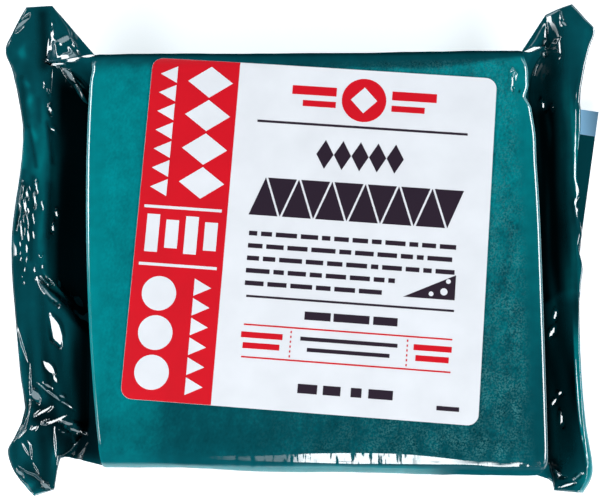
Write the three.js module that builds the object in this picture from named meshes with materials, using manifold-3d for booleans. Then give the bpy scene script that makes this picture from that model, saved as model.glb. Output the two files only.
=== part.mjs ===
// A block of cheddar shut in a vacuum pack of opaque teal film, lying on its back with its paper label up.
// Millimetres. X runs across the label, Y up the label and Z out of it. The origin is the middle of the base.
import * as THREE from 'three';
import { LoftGeometry } from 'three/addons/geometries/LoftGeometry.js';
import { mergeVertices } from 'three/addons/utils/BufferGeometryUtils.js';
import Module from 'manifold-3d';

const wasm = await Module();
wasm.setup();

// The wrapped block
const BLOCK_LENGTH = 95;
const BLOCK_WIDTH = 89.5;
const BLOCK_THICKNESS = 22;
const LONG_EDGE_RADIUS = 4.4;
const END_EDGE_RADIUS = 0.8;
const BLOCK_SKEW = THREE.MathUtils.degToRad( - 0.95 );

// The film beyond the block: two layers pressed flat into a fin at each end
const FIN_THICKNESS = 0.9;
const FIN_RIM = 0.6;
const RIDGE_SHARE = 0.095;
const FAN_SHARE = 0.09;
const EAR_LEAD = 2;

// The label
const LABEL_WIDTH = 73.4;
const LABEL_HEIGHT = 72.8;
const LABEL_RADIUS = 3;
const LABEL_THICKNESS = 0.3;
const LABEL_GAP = 0.3;
const LABEL_CENTRE = [ - 0.4, 4 ];
const LABEL_TURN = THREE.MathUtils.degToRad( - 4.8 );

// The loose tail of film that shows behind the right fin
const TAIL_LENGTH = 21;
const TAIL_WIDTH = 34;
const TAIL_THICKNESS = 0.8;
const TAIL_HEIGHT = 3.2;
const TAIL_CORNER = [ 64.8, 34.6 ];
const TAIL_TURN = THREE.MathUtils.degToRad( - 10 );

// How finely the film is divided: lanes across one face, rows down each end wall and along each fin
const LANES = 44;
const EDGE_ROWS = 3;
const DROP_ROWS = 3;
const FIN_ROWS = 7;
const BLOCK_ROWS = 3;
const ARC_SEGMENTS = 8;

// Each end of the pack. Reach is the distance out from the block's end, and a point is [ reach, y ].
// The block's end edge bows: it stands out most at crestY and is set back by so much at its two corners.
// At each ear the film runs from the block's corner to a ridge point and folds at a tip.
// A notch draws the folded film in between the corner and the tip.
// The cut edge goes from the upper ear to the lower one.
const LEFT_END = {
	direction: - 1,
	edge: { crest: 0.7, crestY: 20, upperSetBack: 0.8, lowerSetBack: 4.2 },
	wallRun: 2.2,
	finHeight: 10.5,
	trough: { depth: 3, reach: 4.5, width: 3.5 },
	ridge: { height: 2.4, reach: 13, width: 4 },
	waves: { height: 0.7, length: 31, phase: 0.4 },
	upperEar: { ridge: [ 12, 45.6 ], tip: [ 10.6, 58 ], lift: 4, notch: 0 },
	lowerEar: { ridge: [ 7.6, - 41.4 ], tip: [ 9.4, - 48.4 ], lift: 0.5, notch: 5.5 },
	cutEdge: [
		[ 16.4, 57.8 ], [ 21.4, 48.8 ], [ 17.2, 30 ], [ 18.9, 5 ],
		[ 15.2, - 31.5 ], [ 18.8, - 40.6 ], [ 12.7, - 49.7 ]
	]
};

const RIGHT_END = {
	direction: 1,
	edge: { crest: - 0.1, crestY: 4, upperSetBack: 2.2, lowerSetBack: 0.2 },
	wallRun: 1.6,
	finHeight: 10.5,
	trough: { depth: 3, reach: 4, width: 3 },
	ridge: { height: 2.2, reach: 9, width: 2.6 },
	waves: { height: 0.5, length: 24, phase: 1.1 },
	upperEar: { ridge: [ 4, 46 ], tip: [ 4.4, 54.6 ], lift: 3, notch: 0 },
	lowerEar: { ridge: [ 2.8, - 44.4 ], tip: [ 2.8, - 49.2 ], lift: 0.5, notch: 1.5 },
	cutEdge: [
		[ 10, 56.4 ], [ 14.4, 50.4 ], [ 10.4, 32 ], [ 10.1, 4 ],
		[ 9.3, - 22 ], [ 10.6, - 44 ], [ 8.6, - 49.6 ]
	]
};

function bell( value, middle, width ) {

	const away = ( value - middle ) / width;
	return Math.exp( - away * away );

}

// Half of the block's section in Y and Z, from the middle of its far side over the top to its near side
function sectionPoints() {

	const side = BLOCK_WIDTH / 2;
	const flat = side - LONG_EDGE_RADIUS;
	const shoulder = BLOCK_THICKNESS - LONG_EDGE_RADIUS;
	const half = new THREE.Path();
	half.moveTo( side, BLOCK_THICKNESS / 2 );
	half.lineTo( side, shoulder );
	half.absarc( flat, shoulder, LONG_EDGE_RADIUS, 0, Math.PI / 2 );
	half.lineTo( - flat, BLOCK_THICKNESS );
	half.absarc( - flat, shoulder, LONG_EDGE_RADIUS, Math.PI / 2, Math.PI );
	half.lineTo( - side, BLOCK_THICKNESS / 2 );
	return half.getSpacedPoints( LANES );

}

const SECTION = sectionPoints();

// How far the block's long sides are carried along Y at a distance from its middle
function skewAt( x ) {

	return x * Math.tan( BLOCK_SKEW );

}

// How far the block's end edge lies from its middle at a place across the block
function edgeDistance( end, y ) {

	const { crest, crestY, upperSetBack, lowerSetBack } = end.edge;
	const span = BLOCK_WIDTH / 2 - Math.sign( y - crestY ) * crestY;
	const setBack = y > crestY ? upperSetBack : lowerSetBack;
	const away = ( y - crestY ) / span;
	return BLOCK_LENGTH / 2 + crest - setBack * away * away;

}

// Where a lane of film reaches the fin: close under the end wall, but well out at the ears
function rootPoint( end, lane ) {

	const share = lane / LANES;
	const ear = share < 0.5 ? end.upperEar : end.lowerEar;
	const fromFold = Math.min( share, 1 - share );
	const ridge = new THREE.Vector2( ...ear.ridge );
	if ( fromFold < RIDGE_SHARE ) return new THREE.Vector2( ...ear.tip ).lerp( ridge, fromFold / RIDGE_SHARE );
	const inward = THREE.MathUtils.smoothstep( fromFold, RIDGE_SHARE, RIDGE_SHARE + FAN_SHARE );
	return ridge.lerp( new THREE.Vector2( end.wallRun, SECTION[ lane ].x ), inward );

}

// How far the film is drawn in between the block's corner and the ear, most at the fold
function notchAt( end, lane ) {

	const share = lane / LANES;
	const fromFold = Math.min( share, 1 - share );
	const depth = share < 0.5 ? - end.upperEar.notch : end.lowerEar.notch;
	return depth * Math.max( 0, 1 - fromFold / RIDGE_SHARE );

}

// Height of the fin's middle layer: a trough by the wall, a ridge further out, waves along it and lifted ears
function finHeight( end, point ) {

	const { trough, ridge, waves } = end;
	const ear = point.y > 0 ? end.upperEar : end.lowerEar;
	const dip = trough.depth * bell( point.x, trough.reach, trough.width );
	const crest = ridge.height * bell( point.x, ridge.reach, ridge.width );
	const swell = Math.sin( 2 * Math.PI * point.y / waves.length + waves.phase ) * waves.height;
	const earStart = BLOCK_WIDTH / 2 - EAR_LEAD;
	const earShare = THREE.MathUtils.smoothstep( Math.abs( point.y ), earStart, Math.abs( ear.tip[ 1 ] ) );
	const inner = THREE.MathUtils.smoothstep( point.x, 0, ridge.reach );
	return end.finHeight - dip * ( 1 - earShare ) + crest + swell * inner + ear.lift * earShare;

}

// A closed ring of film from one point for each lane above and one below
function ring( place ) {

	const points = [];
	for ( let lane = 0; lane <= LANES; lane ++ ) points.push( place( lane, 1 ) );
	for ( let lane = LANES - 1; lane > 0; lane -- ) points.push( place( lane, - 1 ) );
	return points;

}

// The block's section, drawn in by some amount above and below where the end edge is rounded
function blockRing( distance, inset ) {

	return ring( ( lane, face ) => {

		const { x: y, y: z } = SECTION[ lane ];
		const half = BLOCK_THICKNESS / 2;
		const height = half + face * ( z - half ) * ( half - inset ) / half;
		const x = distance( y );
		return new THREE.Vector3( x, y + skewAt( x ), height );

	} );

}

// The film at one end, from the block's edge outwards
function endRings( end ) {

	const cut = new THREE.SplineCurve( end.cutEdge.map( ( pair ) => new THREE.Vector2( ...pair ) ) );
	const half = BLOCK_THICKNESS / 2;
	const outward = ( reach ) => end.direction * ( BLOCK_LENGTH / 2 + reach );
	const rings = [];

	// round the block's end edge
	for ( let row = 0; row < EDGE_ROWS; row ++ ) {

		const angle = row / EDGE_ROWS * Math.PI / 2;
		const back = END_EDGE_RADIUS * ( 1 - Math.sin( angle ) );
		const inset = END_EDGE_RADIUS * ( 1 - Math.cos( angle ) );
		rings.push( blockRing( ( y ) => end.direction * ( edgeDistance( end, y ) - back ), inset ) );

	}

	// down the end wall to the fin
	const edgeScale = ( half - END_EDGE_RADIUS ) / half;
	for ( let row = 0; row < DROP_ROWS; row ++ ) {

		const fall = row / DROP_ROWS;
		rings.push( ring( ( lane, face ) => {

			const { x: y, y: z } = SECTION[ lane ];
			const root = rootPoint( end, lane );
			const fold = lane === 0 || lane === LANES ? 0 : face;
			const x = end.direction * edgeDistance( end, y );
			const start = new THREE.Vector3( x, y + skewAt( x ), half + face * ( z - half ) * edgeScale );
			const finZ = finHeight( end, root ) + fold * FIN_THICKNESS / 2;
			const point = start.lerp( new THREE.Vector3( outward( root.x ), root.y, finZ ), fall );
			point.y += row === DROP_ROWS - 1 ? notchAt( end, lane ) : 0;
			return point;

		} ) );

	}

	// out along the fin to its cut edge, where the two layers meet
	for ( let row = 0; row <= FIN_ROWS; row ++ ) {

		const last = row === FIN_ROWS;
		rings.push( ring( ( lane, face ) => {

			const root = rootPoint( end, lane );
			const edge = cut.getPointAt( lane / LANES );
			const width = root.distanceTo( edge );
			const rim = 1 - FIN_RIM / width;
			const spread = last ? 1 : rim * row / ( FIN_ROWS - 1 );
			const point = root.lerp( edge, spread );
			const fold = last || lane === 0 || lane === LANES ? 0 : face;
			const height = finHeight( end, point ) + fold * FIN_THICKNESS / 2;
			return new THREE.Vector3( outward( point.x ), point.y, height );

		} ) );

	}

	return rings;

}

// Solids and geometry in and out of the boolean library

function solidFrom( geometry ) {

	const bare = new THREE.BufferGeometry().copy( geometry );
	bare.deleteAttribute( 'normal' );
	bare.deleteAttribute( 'uv' );
	const merged = mergeVertices( bare );
	return new wasm.Manifold( new wasm.Mesh( {
		numProp: 3,
		vertProperties: merged.getAttribute( 'position' ).array,
		triVerts: Uint32Array.from( merged.index.array )
	} ) );

}

function geometryFrom( solid ) {

	const { vertProperties, triVerts } = solid.getMesh();
	const geometry = new THREE.BufferGeometry();
	geometry.setAttribute( 'position', new THREE.BufferAttribute( vertProperties, 3 ) );
	geometry.setIndex( new THREE.BufferAttribute( triVerts, 1 ) );
	geometry.computeVertexNormals();
	return geometry;

}

// The wrapped block with both fins
function wrapGeometry() {

	const sections = endRings( LEFT_END ).reverse();
	for ( let row = 1; row <= BLOCK_ROWS; row ++ ) {

		const share = row / ( BLOCK_ROWS + 1 );
		const left = ( y ) => - edgeDistance( LEFT_END, y );
		const right = ( y ) => edgeDistance( RIGHT_END, y );
		sections.push( blockRing( ( y ) => THREE.MathUtils.lerp( left( y ), right( y ), share ), 0 ) );

	}

	sections.push( ...endRings( RIGHT_END ) );
	return new LoftGeometry( sections );

}

// The tail: a flat strip whose free corner sticks out past the right fin
function tailGeometry() {

	const strip = new THREE.BoxGeometry( TAIL_LENGTH, TAIL_WIDTH, TAIL_THICKNESS );
	strip.translate( - TAIL_LENGTH / 2, - TAIL_WIDTH / 2, TAIL_HEIGHT );
	strip.rotateZ( TAIL_TURN );
	strip.translate( TAIL_CORNER[ 0 ], TAIL_CORNER[ 1 ], 0 );
	return strip;

}

function extruded( shape, depth ) {

	return new THREE.ExtrudeGeometry( shape, { depth, bevelEnabled: false, curveSegments: ARC_SEGMENTS } );

}

// The label's sheet, a skin over the block's face and rounded edges, before its outline is cut
function labelSkinGeometry() {

	const flat = BLOCK_WIDTH / 2 - LONG_EDGE_RADIUS;
	const shoulder = BLOCK_THICKNESS - LONG_EDGE_RADIUS;
	const inner = LONG_EDGE_RADIUS + LABEL_GAP;
	const outer = inner + LABEL_THICKNESS;
	const skin = new THREE.Shape();
	skin.absarc( flat, shoulder, outer, 0, Math.PI / 2 );
	skin.absarc( - flat, shoulder, outer, Math.PI / 2, Math.PI );
	skin.absarc( - flat, shoulder, inner, Math.PI, Math.PI / 2, true );
	skin.absarc( flat, shoulder, inner, Math.PI / 2, 0, true );
	const sheet = extruded( skin, BLOCK_LENGTH );
	sheet.translate( 0, 0, - BLOCK_LENGTH / 2 );
	const along = new THREE.Matrix4().makeBasis(
		new THREE.Vector3( 0, 1, 0 ), new THREE.Vector3( 0, 0, 1 ), new THREE.Vector3( 1, 0, 0 )
	);
	const skew = new THREE.Matrix4().makeShear( Math.tan( BLOCK_SKEW ), 0, 0, 0, 0, 0 );
	return sheet.applyMatrix4( along ).applyMatrix4( skew );

}

// The label's outline as a tall prism
function labelOutlineGeometry() {

	const right = LABEL_WIDTH / 2 - LABEL_RADIUS;
	const top = LABEL_HEIGHT / 2 - LABEL_RADIUS;
	const quarter = Math.PI / 2;
	const outline = new THREE.Shape();
	outline.absarc( right, top, LABEL_RADIUS, 0, quarter );
	outline.absarc( - right, top, LABEL_RADIUS, quarter, 2 * quarter );
	outline.absarc( - right, - top, LABEL_RADIUS, 2 * quarter, 3 * quarter );
	outline.absarc( right, - top, LABEL_RADIUS, 3 * quarter, 4 * quarter );
	const prism = extruded( outline, BLOCK_THICKNESS );
	prism.rotateZ( LABEL_TURN );
	prism.translate( LABEL_CENTRE[ 0 ], LABEL_CENTRE[ 1 ], BLOCK_THICKNESS / 2 );
	return prism;

}

function namedMesh( name, geometry, color, roughness ) {

	const material = new THREE.MeshStandardMaterial( { color, roughness, metalness: 0 } );
	const mesh = new THREE.Mesh( geometry, material );
	mesh.name = name;
	return mesh;

}

const film = solidFrom( wrapGeometry() ).add( solidFrom( tailGeometry() ) );
const label = solidFrom( labelSkinGeometry() ).intersect( solidFrom( labelOutlineGeometry() ) );

const pack = new THREE.Group();
pack.add( namedMesh( 'film_pack', geometryFrom( film ), 0x0b6068, 0.22 ) );
pack.add( namedMesh( 'front_label', geometryFrom( label ), 0xeef1f7, 0.45 ) );

// Stand the middle of the pack's base on the origin
const box = new THREE.Box3().setFromObject( pack );
const middle = box.getCenter( new THREE.Vector3() );
pack.position.set( - middle.x, - middle.y, - box.min.z );

export default pack;
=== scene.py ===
"""A block of cheddar shut in a vacuum pack of teal film: the film, its loose tail, the label and a studio.

Shapes are worked out in millimetres about the middle of the block, X across the label, Y up it and Z out
of it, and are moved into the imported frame, in metres, when a mesh is made.
"""

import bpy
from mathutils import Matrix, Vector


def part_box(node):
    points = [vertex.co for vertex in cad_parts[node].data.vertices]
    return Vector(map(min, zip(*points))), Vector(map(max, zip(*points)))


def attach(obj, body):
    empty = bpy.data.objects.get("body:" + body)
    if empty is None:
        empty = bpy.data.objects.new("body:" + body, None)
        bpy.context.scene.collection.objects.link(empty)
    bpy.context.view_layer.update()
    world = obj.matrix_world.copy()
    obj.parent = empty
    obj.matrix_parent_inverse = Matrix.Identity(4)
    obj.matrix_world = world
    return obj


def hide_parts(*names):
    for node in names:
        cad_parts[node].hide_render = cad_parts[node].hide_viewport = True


bl_info = {
    "name": "Vacuum-Packed Cheddar Block",
    "version": (1, 0, 0),
    "blender": (4, 5, 0),
    "location": "3D View > Sidebar > Cheddar Pack",
    "description": "Dresses a packed block of cheddar with creased film, a printed label and a studio",
    "category": "Add Mesh",
}

from math import cos, pi, radians, sin, sqrt, tan
from typing import NamedTuple

import bmesh
import bpy
import numpy as np
from mathutils import Matrix, Vector

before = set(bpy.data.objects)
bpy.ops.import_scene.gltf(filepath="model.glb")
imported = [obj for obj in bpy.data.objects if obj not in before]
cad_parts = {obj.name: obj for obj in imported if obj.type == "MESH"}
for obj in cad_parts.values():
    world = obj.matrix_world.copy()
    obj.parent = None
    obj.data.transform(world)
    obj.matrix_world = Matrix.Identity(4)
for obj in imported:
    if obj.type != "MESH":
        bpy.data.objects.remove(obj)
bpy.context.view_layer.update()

MM = 0.001

# The label's place on the block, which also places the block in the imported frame
LABEL_CENTRE = (-0.4, 4.0)
LABEL_TURN = radians(-4.8)
LABEL_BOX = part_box("front_label")
PACK_SHIFT = (
    (LABEL_BOX[0][0] + LABEL_BOX[1][0]) / 2 / MM - LABEL_CENTRE[0],
    (LABEL_BOX[0][1] + LABEL_BOX[1][1]) / 2 / MM - LABEL_CENTRE[1],
)

# The block's long sides run a little askew to its ends
BLOCK_SKEW = tan(radians(-0.95))

# Thickness of a printed layer and of the glue under the label, and how far the band stays in from the edge
INK = 0.04
GLUE = 0.03
BAND_INSET = 0.04

# The zones that the web of film runs through
LEFT_ZONE, BLOCK_ZONE, RIGHT_ZONE = range(3)

# How finely the web is divided, with pairs for the left and right ends and lanes as (share reached, number)
FIN_ROWS = (84, 38)
DROP_ROWS = (28, 18)
EDGE_ROWS = 12
BLOCK_ROWS = 40
PUCKER_ROWS = 22
PUCKER_SPAN = (0.9331, 0.9811)
FACE_LANES = ((0.072, 42), (0.16, 32), (0.31, 34), (0.55, 76), (0.73, 48), (0.905, 70), (1.0, 44))
BACK_LANES = ((0.06, 3), (0.13, 7), (0.87, 24), (0.94, 7), (1.0, 3))


class Ear(NamedTuple):
    """The film at one corner of an end: its ridge, its folded tip and how far it lifts, dips in and bulges.

    Points are (reach, y), and tension is how high the film stands along its pulled ridge.
    """
    ridge_share: float
    ridge: tuple
    tip: tuple
    lift: float
    notch: float
    bulge: float
    tension: float


class Facet(NamedTuple):
    """A flat facet in the film along a line of (x, y) points, with a half width and the slope it leans at.

    A broad one is a plane about the line's middle, set above the film by its rise, and another is a crease
    that follows the line and leans across it.
    """
    line: tuple
    width: float
    lean: tuple
    broad: bool = True
    rise: float = 0.0


class FilmEnd(NamedTuple):
    """One end of the pack. Reach is the distance out from the block's end, and a point is (reach, y).

    Dents in the block's edge are (y, depth, width) and profiles (reach, height). The trough's pair is its
    reach above and below the pleat on the profile line.
    """
    direction: int
    crest: float
    crest_y: float
    upper_set_back: float
    lower_set_back: float
    dents: tuple
    wall_run: float
    trough: tuple
    upper_profile: tuple
    lower_profile: tuple
    profile_line: tuple
    upper_tone: float
    lower_tone: float
    wave_height: float
    wave_length: float
    wave_phase: float
    upper_ear: Ear
    lower_ear: Ear
    cut_edge: tuple
    crisp_edge: tuple
    ear_overlap: float


class Fold(NamedTuple):
    """A crease in the film along a line of (x, y) points, raised by height and fading over width."""
    line: tuple
    height: float
    width: float


LEFT_END = FilmEnd(
    direction=-1,
    crest=0.7,
    crest_y=20.0,
    upper_set_back=0.8,
    lower_set_back=4.2,
    dents=((40.0, -0.3, 1.5),),
    wall_run=2.2,
    trough=(10.4, 4.6),
    upper_profile=((0, 6.5), (2.5, 5.0), (6, 6.4), (9.2, 10.4), (10.6, 12.1), (11.6, 12.5), (13, 12.4),
                   (15, 12.3), (17, 12.2), (20, 11.9), (23, 11.5)),
    lower_profile=((0, 8.0), (1.4, 8.2), (2.8, 10.2), (4.0, 11.6), (5.4, 12.3), (7.4, 12.5), (10.8, 12.3),
                   (13.0, 12.1), (15.6, 11.9), (18.5, 11.7), (23, 11.3)),
    profile_line=((-59.7, -3.1), (-51.8, -11.3)),
    upper_tone=0.44,
    lower_tone=0.27,
    wave_height=0.6,
    wave_length=31.0,
    wave_phase=0.4,
    upper_ear=Ear(ridge_share=0.068, ridge=(12.0, 45.6), tip=(10.6, 58.0), lift=3.6, notch=0.0, bulge=0.6,
                  tension=0.0),
    lower_ear=Ear(ridge_share=0.095, ridge=(7.8, -41.2), tip=(8.4, -48.4), lift=0.5, notch=6.0, bulge=0.0,
                  tension=0.3),
    cut_edge=((16.4, 57.8), (19.6, 52.6), (21.6, 48.6), (19.6, 43.0), (17.4, 33.0), (17.2, 27.0),
              (18.6, 12.0), (19.0, 1.0), (18.2, -10.0), (16.2, -24.0), (15.1, -31.6), (17.2, -36.8),
              (18.9, -40.4), (17.0, -45.0), (12.7, -49.7)),
    crisp_edge=(-6.0, 10.0),
    ear_overlap=2.0,
)

RIGHT_END = FilmEnd(
    direction=1,
    crest=-0.1,
    crest_y=4.0,
    upper_set_back=2.2,
    lower_set_back=0.2,
    dents=((34.2, -0.9, 1.4), (26.0, 0.3, 4.0), (39.5, 0.25, 1.5), (-45.6, -2.2, 2.0)),
    wall_run=1.6,
    trough=(7.0, 4.2),
    upper_profile=((0, 6.0), (2.2, 4.6), (4.0, 6.2), (5.6, 9.2), (7.0, 11.3), (8.4, 12.2), (10, 12.6),
                   (16, 12.4)),
    lower_profile=((0, 6.4), (2.2, 5.4), (4.0, 6.8), (5.6, 9.0), (7.0, 10.6), (8.4, 11.5), (10, 12.0),
                   (16, 12.2)),
    profile_line=((47.0, -8.0), (60.0, -8.0)),
    upper_tone=0.40,
    lower_tone=0.20,
    wave_height=0.5,
    wave_length=24.0,
    wave_phase=1.1,
    upper_ear=Ear(ridge_share=0.068, ridge=(4.0, 46.0), tip=(4.4, 54.6), lift=2.4, notch=0.0, bulge=1.6,
                  tension=0.7),
    lower_ear=Ear(ridge_share=0.095, ridge=(2.8, -44.4), tip=(2.8, -49.2), lift=0.5, notch=1.5, bulge=0.0,
                  tension=0.0),
    cut_edge=((10.0, 56.4), (12.6, 53.0), (14.6, 50.2), (13.3, 46.0), (12.0, 40.0), (11.1, 35.0),
              (11.2, 33.0), (10.8, 28.0), (10.1, 23.5), (9.8, 18.0), (10.2, 13.8), (9.6, 12.2), (9.9, 8.7),
              (10.3, 5.5), (9.5, 1.8), (10.1, -2.2), (9.5, -8.0), (9.2, -23.0), (9.9, -35.0), (10.7, -45.0),
              (8.6, -49.6)),
    crisp_edge=(-60.0, -50.0),
    ear_overlap=6.0,
)

# The long pleat of the wide left fin, a ridge with a slit along it
LEFT_FOLDS = (
    Fold(((-60.0, -2.7), (-51.6, -11.5)), 1.2, 1.0),
    Fold(((-60.0, -3.0), (-51.4, -11.7)), -1.5, 0.25),
)

# Slopes of film that gleam at the left end: to the left, the front, and the corners between
TO_LEFT = (-0.37, -0.1)
TO_FRONT = (0.22, -0.48)
TO_NEAR_LEFT = (-0.19, -0.5)
TO_FAR_LEFT = (-0.24, 0.29)

# Flat facets of the left fin: its upper ear, its crest, the dome below the pleat and its lower ear
LEFT_FACETS = (
    Facet(((-57.2, 49.4), (-54.6, 47.6)), 2.2, (-0.1, 0.0)),
    Facet(((-63.3, 56.1), (-64.9, 54.3), (-66.4, 52.6)), 0.7, (-0.22, 0.285)),
    Facet(((-57.9, 54.8), (-58.1, 53.2), (-58.3, 51.6)), 0.5, (-0.38, -0.25)),
    Facet(((-58.7, 51.4), (-59.0, 50.3), (-59.2, 49.0), (-59.7, 46.6)), 0.45, (-0.38, -0.2)),
    Facet(((-57.6, 54.6), (-57.0, 53.4)), 0.3, TO_FAR_LEFT),
    Facet(((-56.8, 50.7), (-53.8, 49.9)), 1.5, TO_FAR_LEFT),
    Facet(((-53.8, 52.5), (-53.0, 50.7)), 0.5, TO_FAR_LEFT),
    Facet(((-53.1, 49.8), (-52.6, 48.0), (-51.7, 46.3)), 0.45, (-0.38, -0.25)),
    Facet(((-59.8, 45.5), (-57.3, 45.1), (-54.6, 45.0)), 0.5, (-0.38, -0.2)),
    Facet(((-54.9, 45.0), (-52.6, 45.1), (-50.8, 45.4)), 0.5, (-0.38, -0.25)),
    Facet(((-51.0, 45.6), (-46.6, 45.2)), 0.5, (-0.36, -0.2)),
    Facet(((-56.4, 44.7), (-54.8, 43.2), (-53.7, 41.6)), 1.0, (-0.18, -0.74), rise=2.2),
    Facet(((-59.7, 40.0), (-59.6, 39.2)), 0.45, (0.23, -0.68)),
    Facet(((-58.9, 38.9), (-58.8, 37.7)), 0.5, (0.23, -0.68)),
    Facet(((-58.6, 35.8), (-58.3, 33.4)), 0.55, (0.23, -0.67)),
    Facet(((-58.6, 30.5), (-57.3, 30.0)), 0.75, (0.23, -0.655)),
    Facet(((-56.9, 12.4), (-57.0, 10.2)), 0.5, (0.23, -0.59)),
    Facet(((-57.2, 9.2), (-57.7, 6.8)), 0.45, (0.23, -0.58)),
    Facet(((-64.4, 18.5), (-64.9, 13.0), (-65.5, 8.0)), 0.28, TO_LEFT),
    Facet(((-59.9, 1.0), (-59.3, 2.1)), 0.5, (0.23, -0.555)),
    Facet(((-61.4, -0.6), (-60.5, 0.4)), 0.3, TO_LEFT),
    Facet(((-61.5, -1.2), (-60.3, -1.4), (-59.2, -1.9), (-58.4, -2.6)), 0.35, TO_NEAR_LEFT),
    Facet(((-61.5, -3.5), (-60.1, -3.0)), 0.4, TO_LEFT),
    Facet(((-60.0, -3.7), (-58.6, -5.6), (-57.5, -7.4), (-55.7, -9.1)), 0.6, (-0.19, -0.57)),
    Facet(((-59.1, -2.6), (-57.8, -3.8), (-56.0, -5.9), (-53.6, -8.6)), 0.4, (-0.19, -0.57)),
    Facet(((-57.4, -11.1), (-56.5, -13.2), (-55.2, -17.8)), 1.5, TO_LEFT),
    Facet(((-56.4, -14.2), (-55.3, -17.6)), 1.5, TO_LEFT),
    Facet(((-58.7, -21.2), (-56.0, -23.7)), 1.15, TO_LEFT),
    Facet(((-56.4, -24.2), (-55.4, -25.8)), 0.6, TO_LEFT),
    Facet(((-64.9, -13.8), (-63.6, -17.6), (-62.0, -21.6)), 0.5, TO_LEFT, False),
    Facet(((-61.6, -21.0), (-61.3, -28.3), (-61.5, -31.1), (-61.7, -32.8)), 0.5, TO_LEFT, False),
    Facet(((-61.7, -32.4), (-62.7, -35.2), (-65.0, -38.1)), 0.55, TO_LEFT, False),
    Facet(((-60.9, -25.0), (-56.3, -28.4), (-51.5, -31.8)), 0.55, (-0.19, -0.44), False),
    Facet(((-58.4, -25.7), (-56.6, -27.1)), 0.60, TO_NEAR_LEFT),
    Facet(((-55.2, -28.1), (-53.6, -29.3)), 0.60, TO_NEAR_LEFT),
    Facet(((-60.7, -27.2), (-59.6, -29.8)), 1.2, TO_NEAR_LEFT),
    Facet(((-60.3, -32.7), (-58.4, -31.8), (-56.5, -30.9)), 0.57, TO_FRONT),
    Facet(((-61.3, -35.9), (-59.8, -34.9)), 0.52, TO_FRONT),
    Facet(((-58.8, -34.4), (-55.6, -33.8), (-53.0, -32.7)), 0.57, TO_FRONT),
    Facet(((-55.2, -34.3), (-52.3, -34.6), (-50.2, -35.6)), 0.65, TO_NEAR_LEFT),
    Facet(((-54.8, -35.3), (-51.8, -35.9), (-49.0, -36.7)), 0.65, TO_NEAR_LEFT),
    Facet(((-55.7, -35.2), (-54.0, -36.4), (-52.5, -36.9)), 0.60, TO_NEAR_LEFT),
    Facet(((-56.1, -35.2), (-55.7, -41.6)), 0.6, TO_LEFT, False),
    Facet(((-62.6, -37.3), (-61.3, -39.0), (-61.0, -42.2)), 0.5, TO_LEFT, False),
    Facet(((-63.5, -38.1), (-61.6, -41.3)), 0.5, TO_LEFT, False),
    Facet(((-60.8, -42.6), (-59.2, -45.3)), 0.4, TO_LEFT, False),
    Facet(((-64.2, -43.2), (-62.0, -44.7), (-60.3, -45.3), (-56.8, -48.0)), 0.5, (-0.19, -0.42), False),
    Facet(((-64.0, -44.2), (-62.9, -45.6)), 0.6, (-0.19, -0.44)),
    Facet(((-58.6, -47.0), (-56.9, -48.2)), 0.8, (-0.19, -0.44)),
    Facet(((-63.0, -46.4), (-61.7, -48.1), (-60.4, -49.1)), 0.45, (-0.19, -0.42), False),
    Facet(((-52.5, -36.7), (-51.5, -39.3), (-51.3, -41.2)), 0.45, TO_LEFT, False),
    Facet(((-48.3, -38.6), (-49.3, -41.0), (-50.4, -43.3)), 0.45, TO_LEFT, False),
)

# Short upright glints on the left fin, each as x, its upper and lower ends and a half width
LEFT_GLINTS = (
    (-60.0, 41.1, 40.3, 0.5), (-62.75, 17.4, 15.6, 0.35), (-63.0, 15.2, 13.4, 0.4),
    (-63.35, 16.8, 14.4, 0.45), (-63.6, 14.6, 11.3, 0.5), (-62.9, 13.0, 11.3, 0.35),
    (-62.85, 11.2, 8.2, 0.25), (-63.65, 11.0, 6.6, 0.22), (-64.2, 9.4, 5.4, 0.35),
    (-64.4, 5.2, 3.8, 0.35), (-64.35, 3.0, 2.1, 0.3), (-64.3, 1.7, 0.7, 0.35),
    (-62.6, 7.5, 4.7, 0.4), (-62.9, 4.7, 2.2, 0.4), (-61.3, 19.0, 15.4, 0.3),
    (-61.5, 16.2, 12.4, 0.35), (-61.55, 11.0, 8.8, 0.3), (-61.45, 7.6, 5.3, 0.35),
    (-59.7, 13.8, 12.1, 0.35), (-62.95, 1.8, 0.4, 0.3), (-63.45, -0.3, -2.0, 0.3),
    (-64.0, -2.0, -3.5, 0.3), (-63.6, -3.2, -4.6, 0.35), (-59.4, 0.3, -1.5, 0.35),
)

# The same slopes at the right end
TO_RIGHT = (0.4, -0.2)
TO_NEAR_RIGHT = (0.22, -0.7)
TO_FAR_RIGHT = (0.26, 0.3)
ALONG_TROUGH = (-0.15, -0.5)

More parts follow.
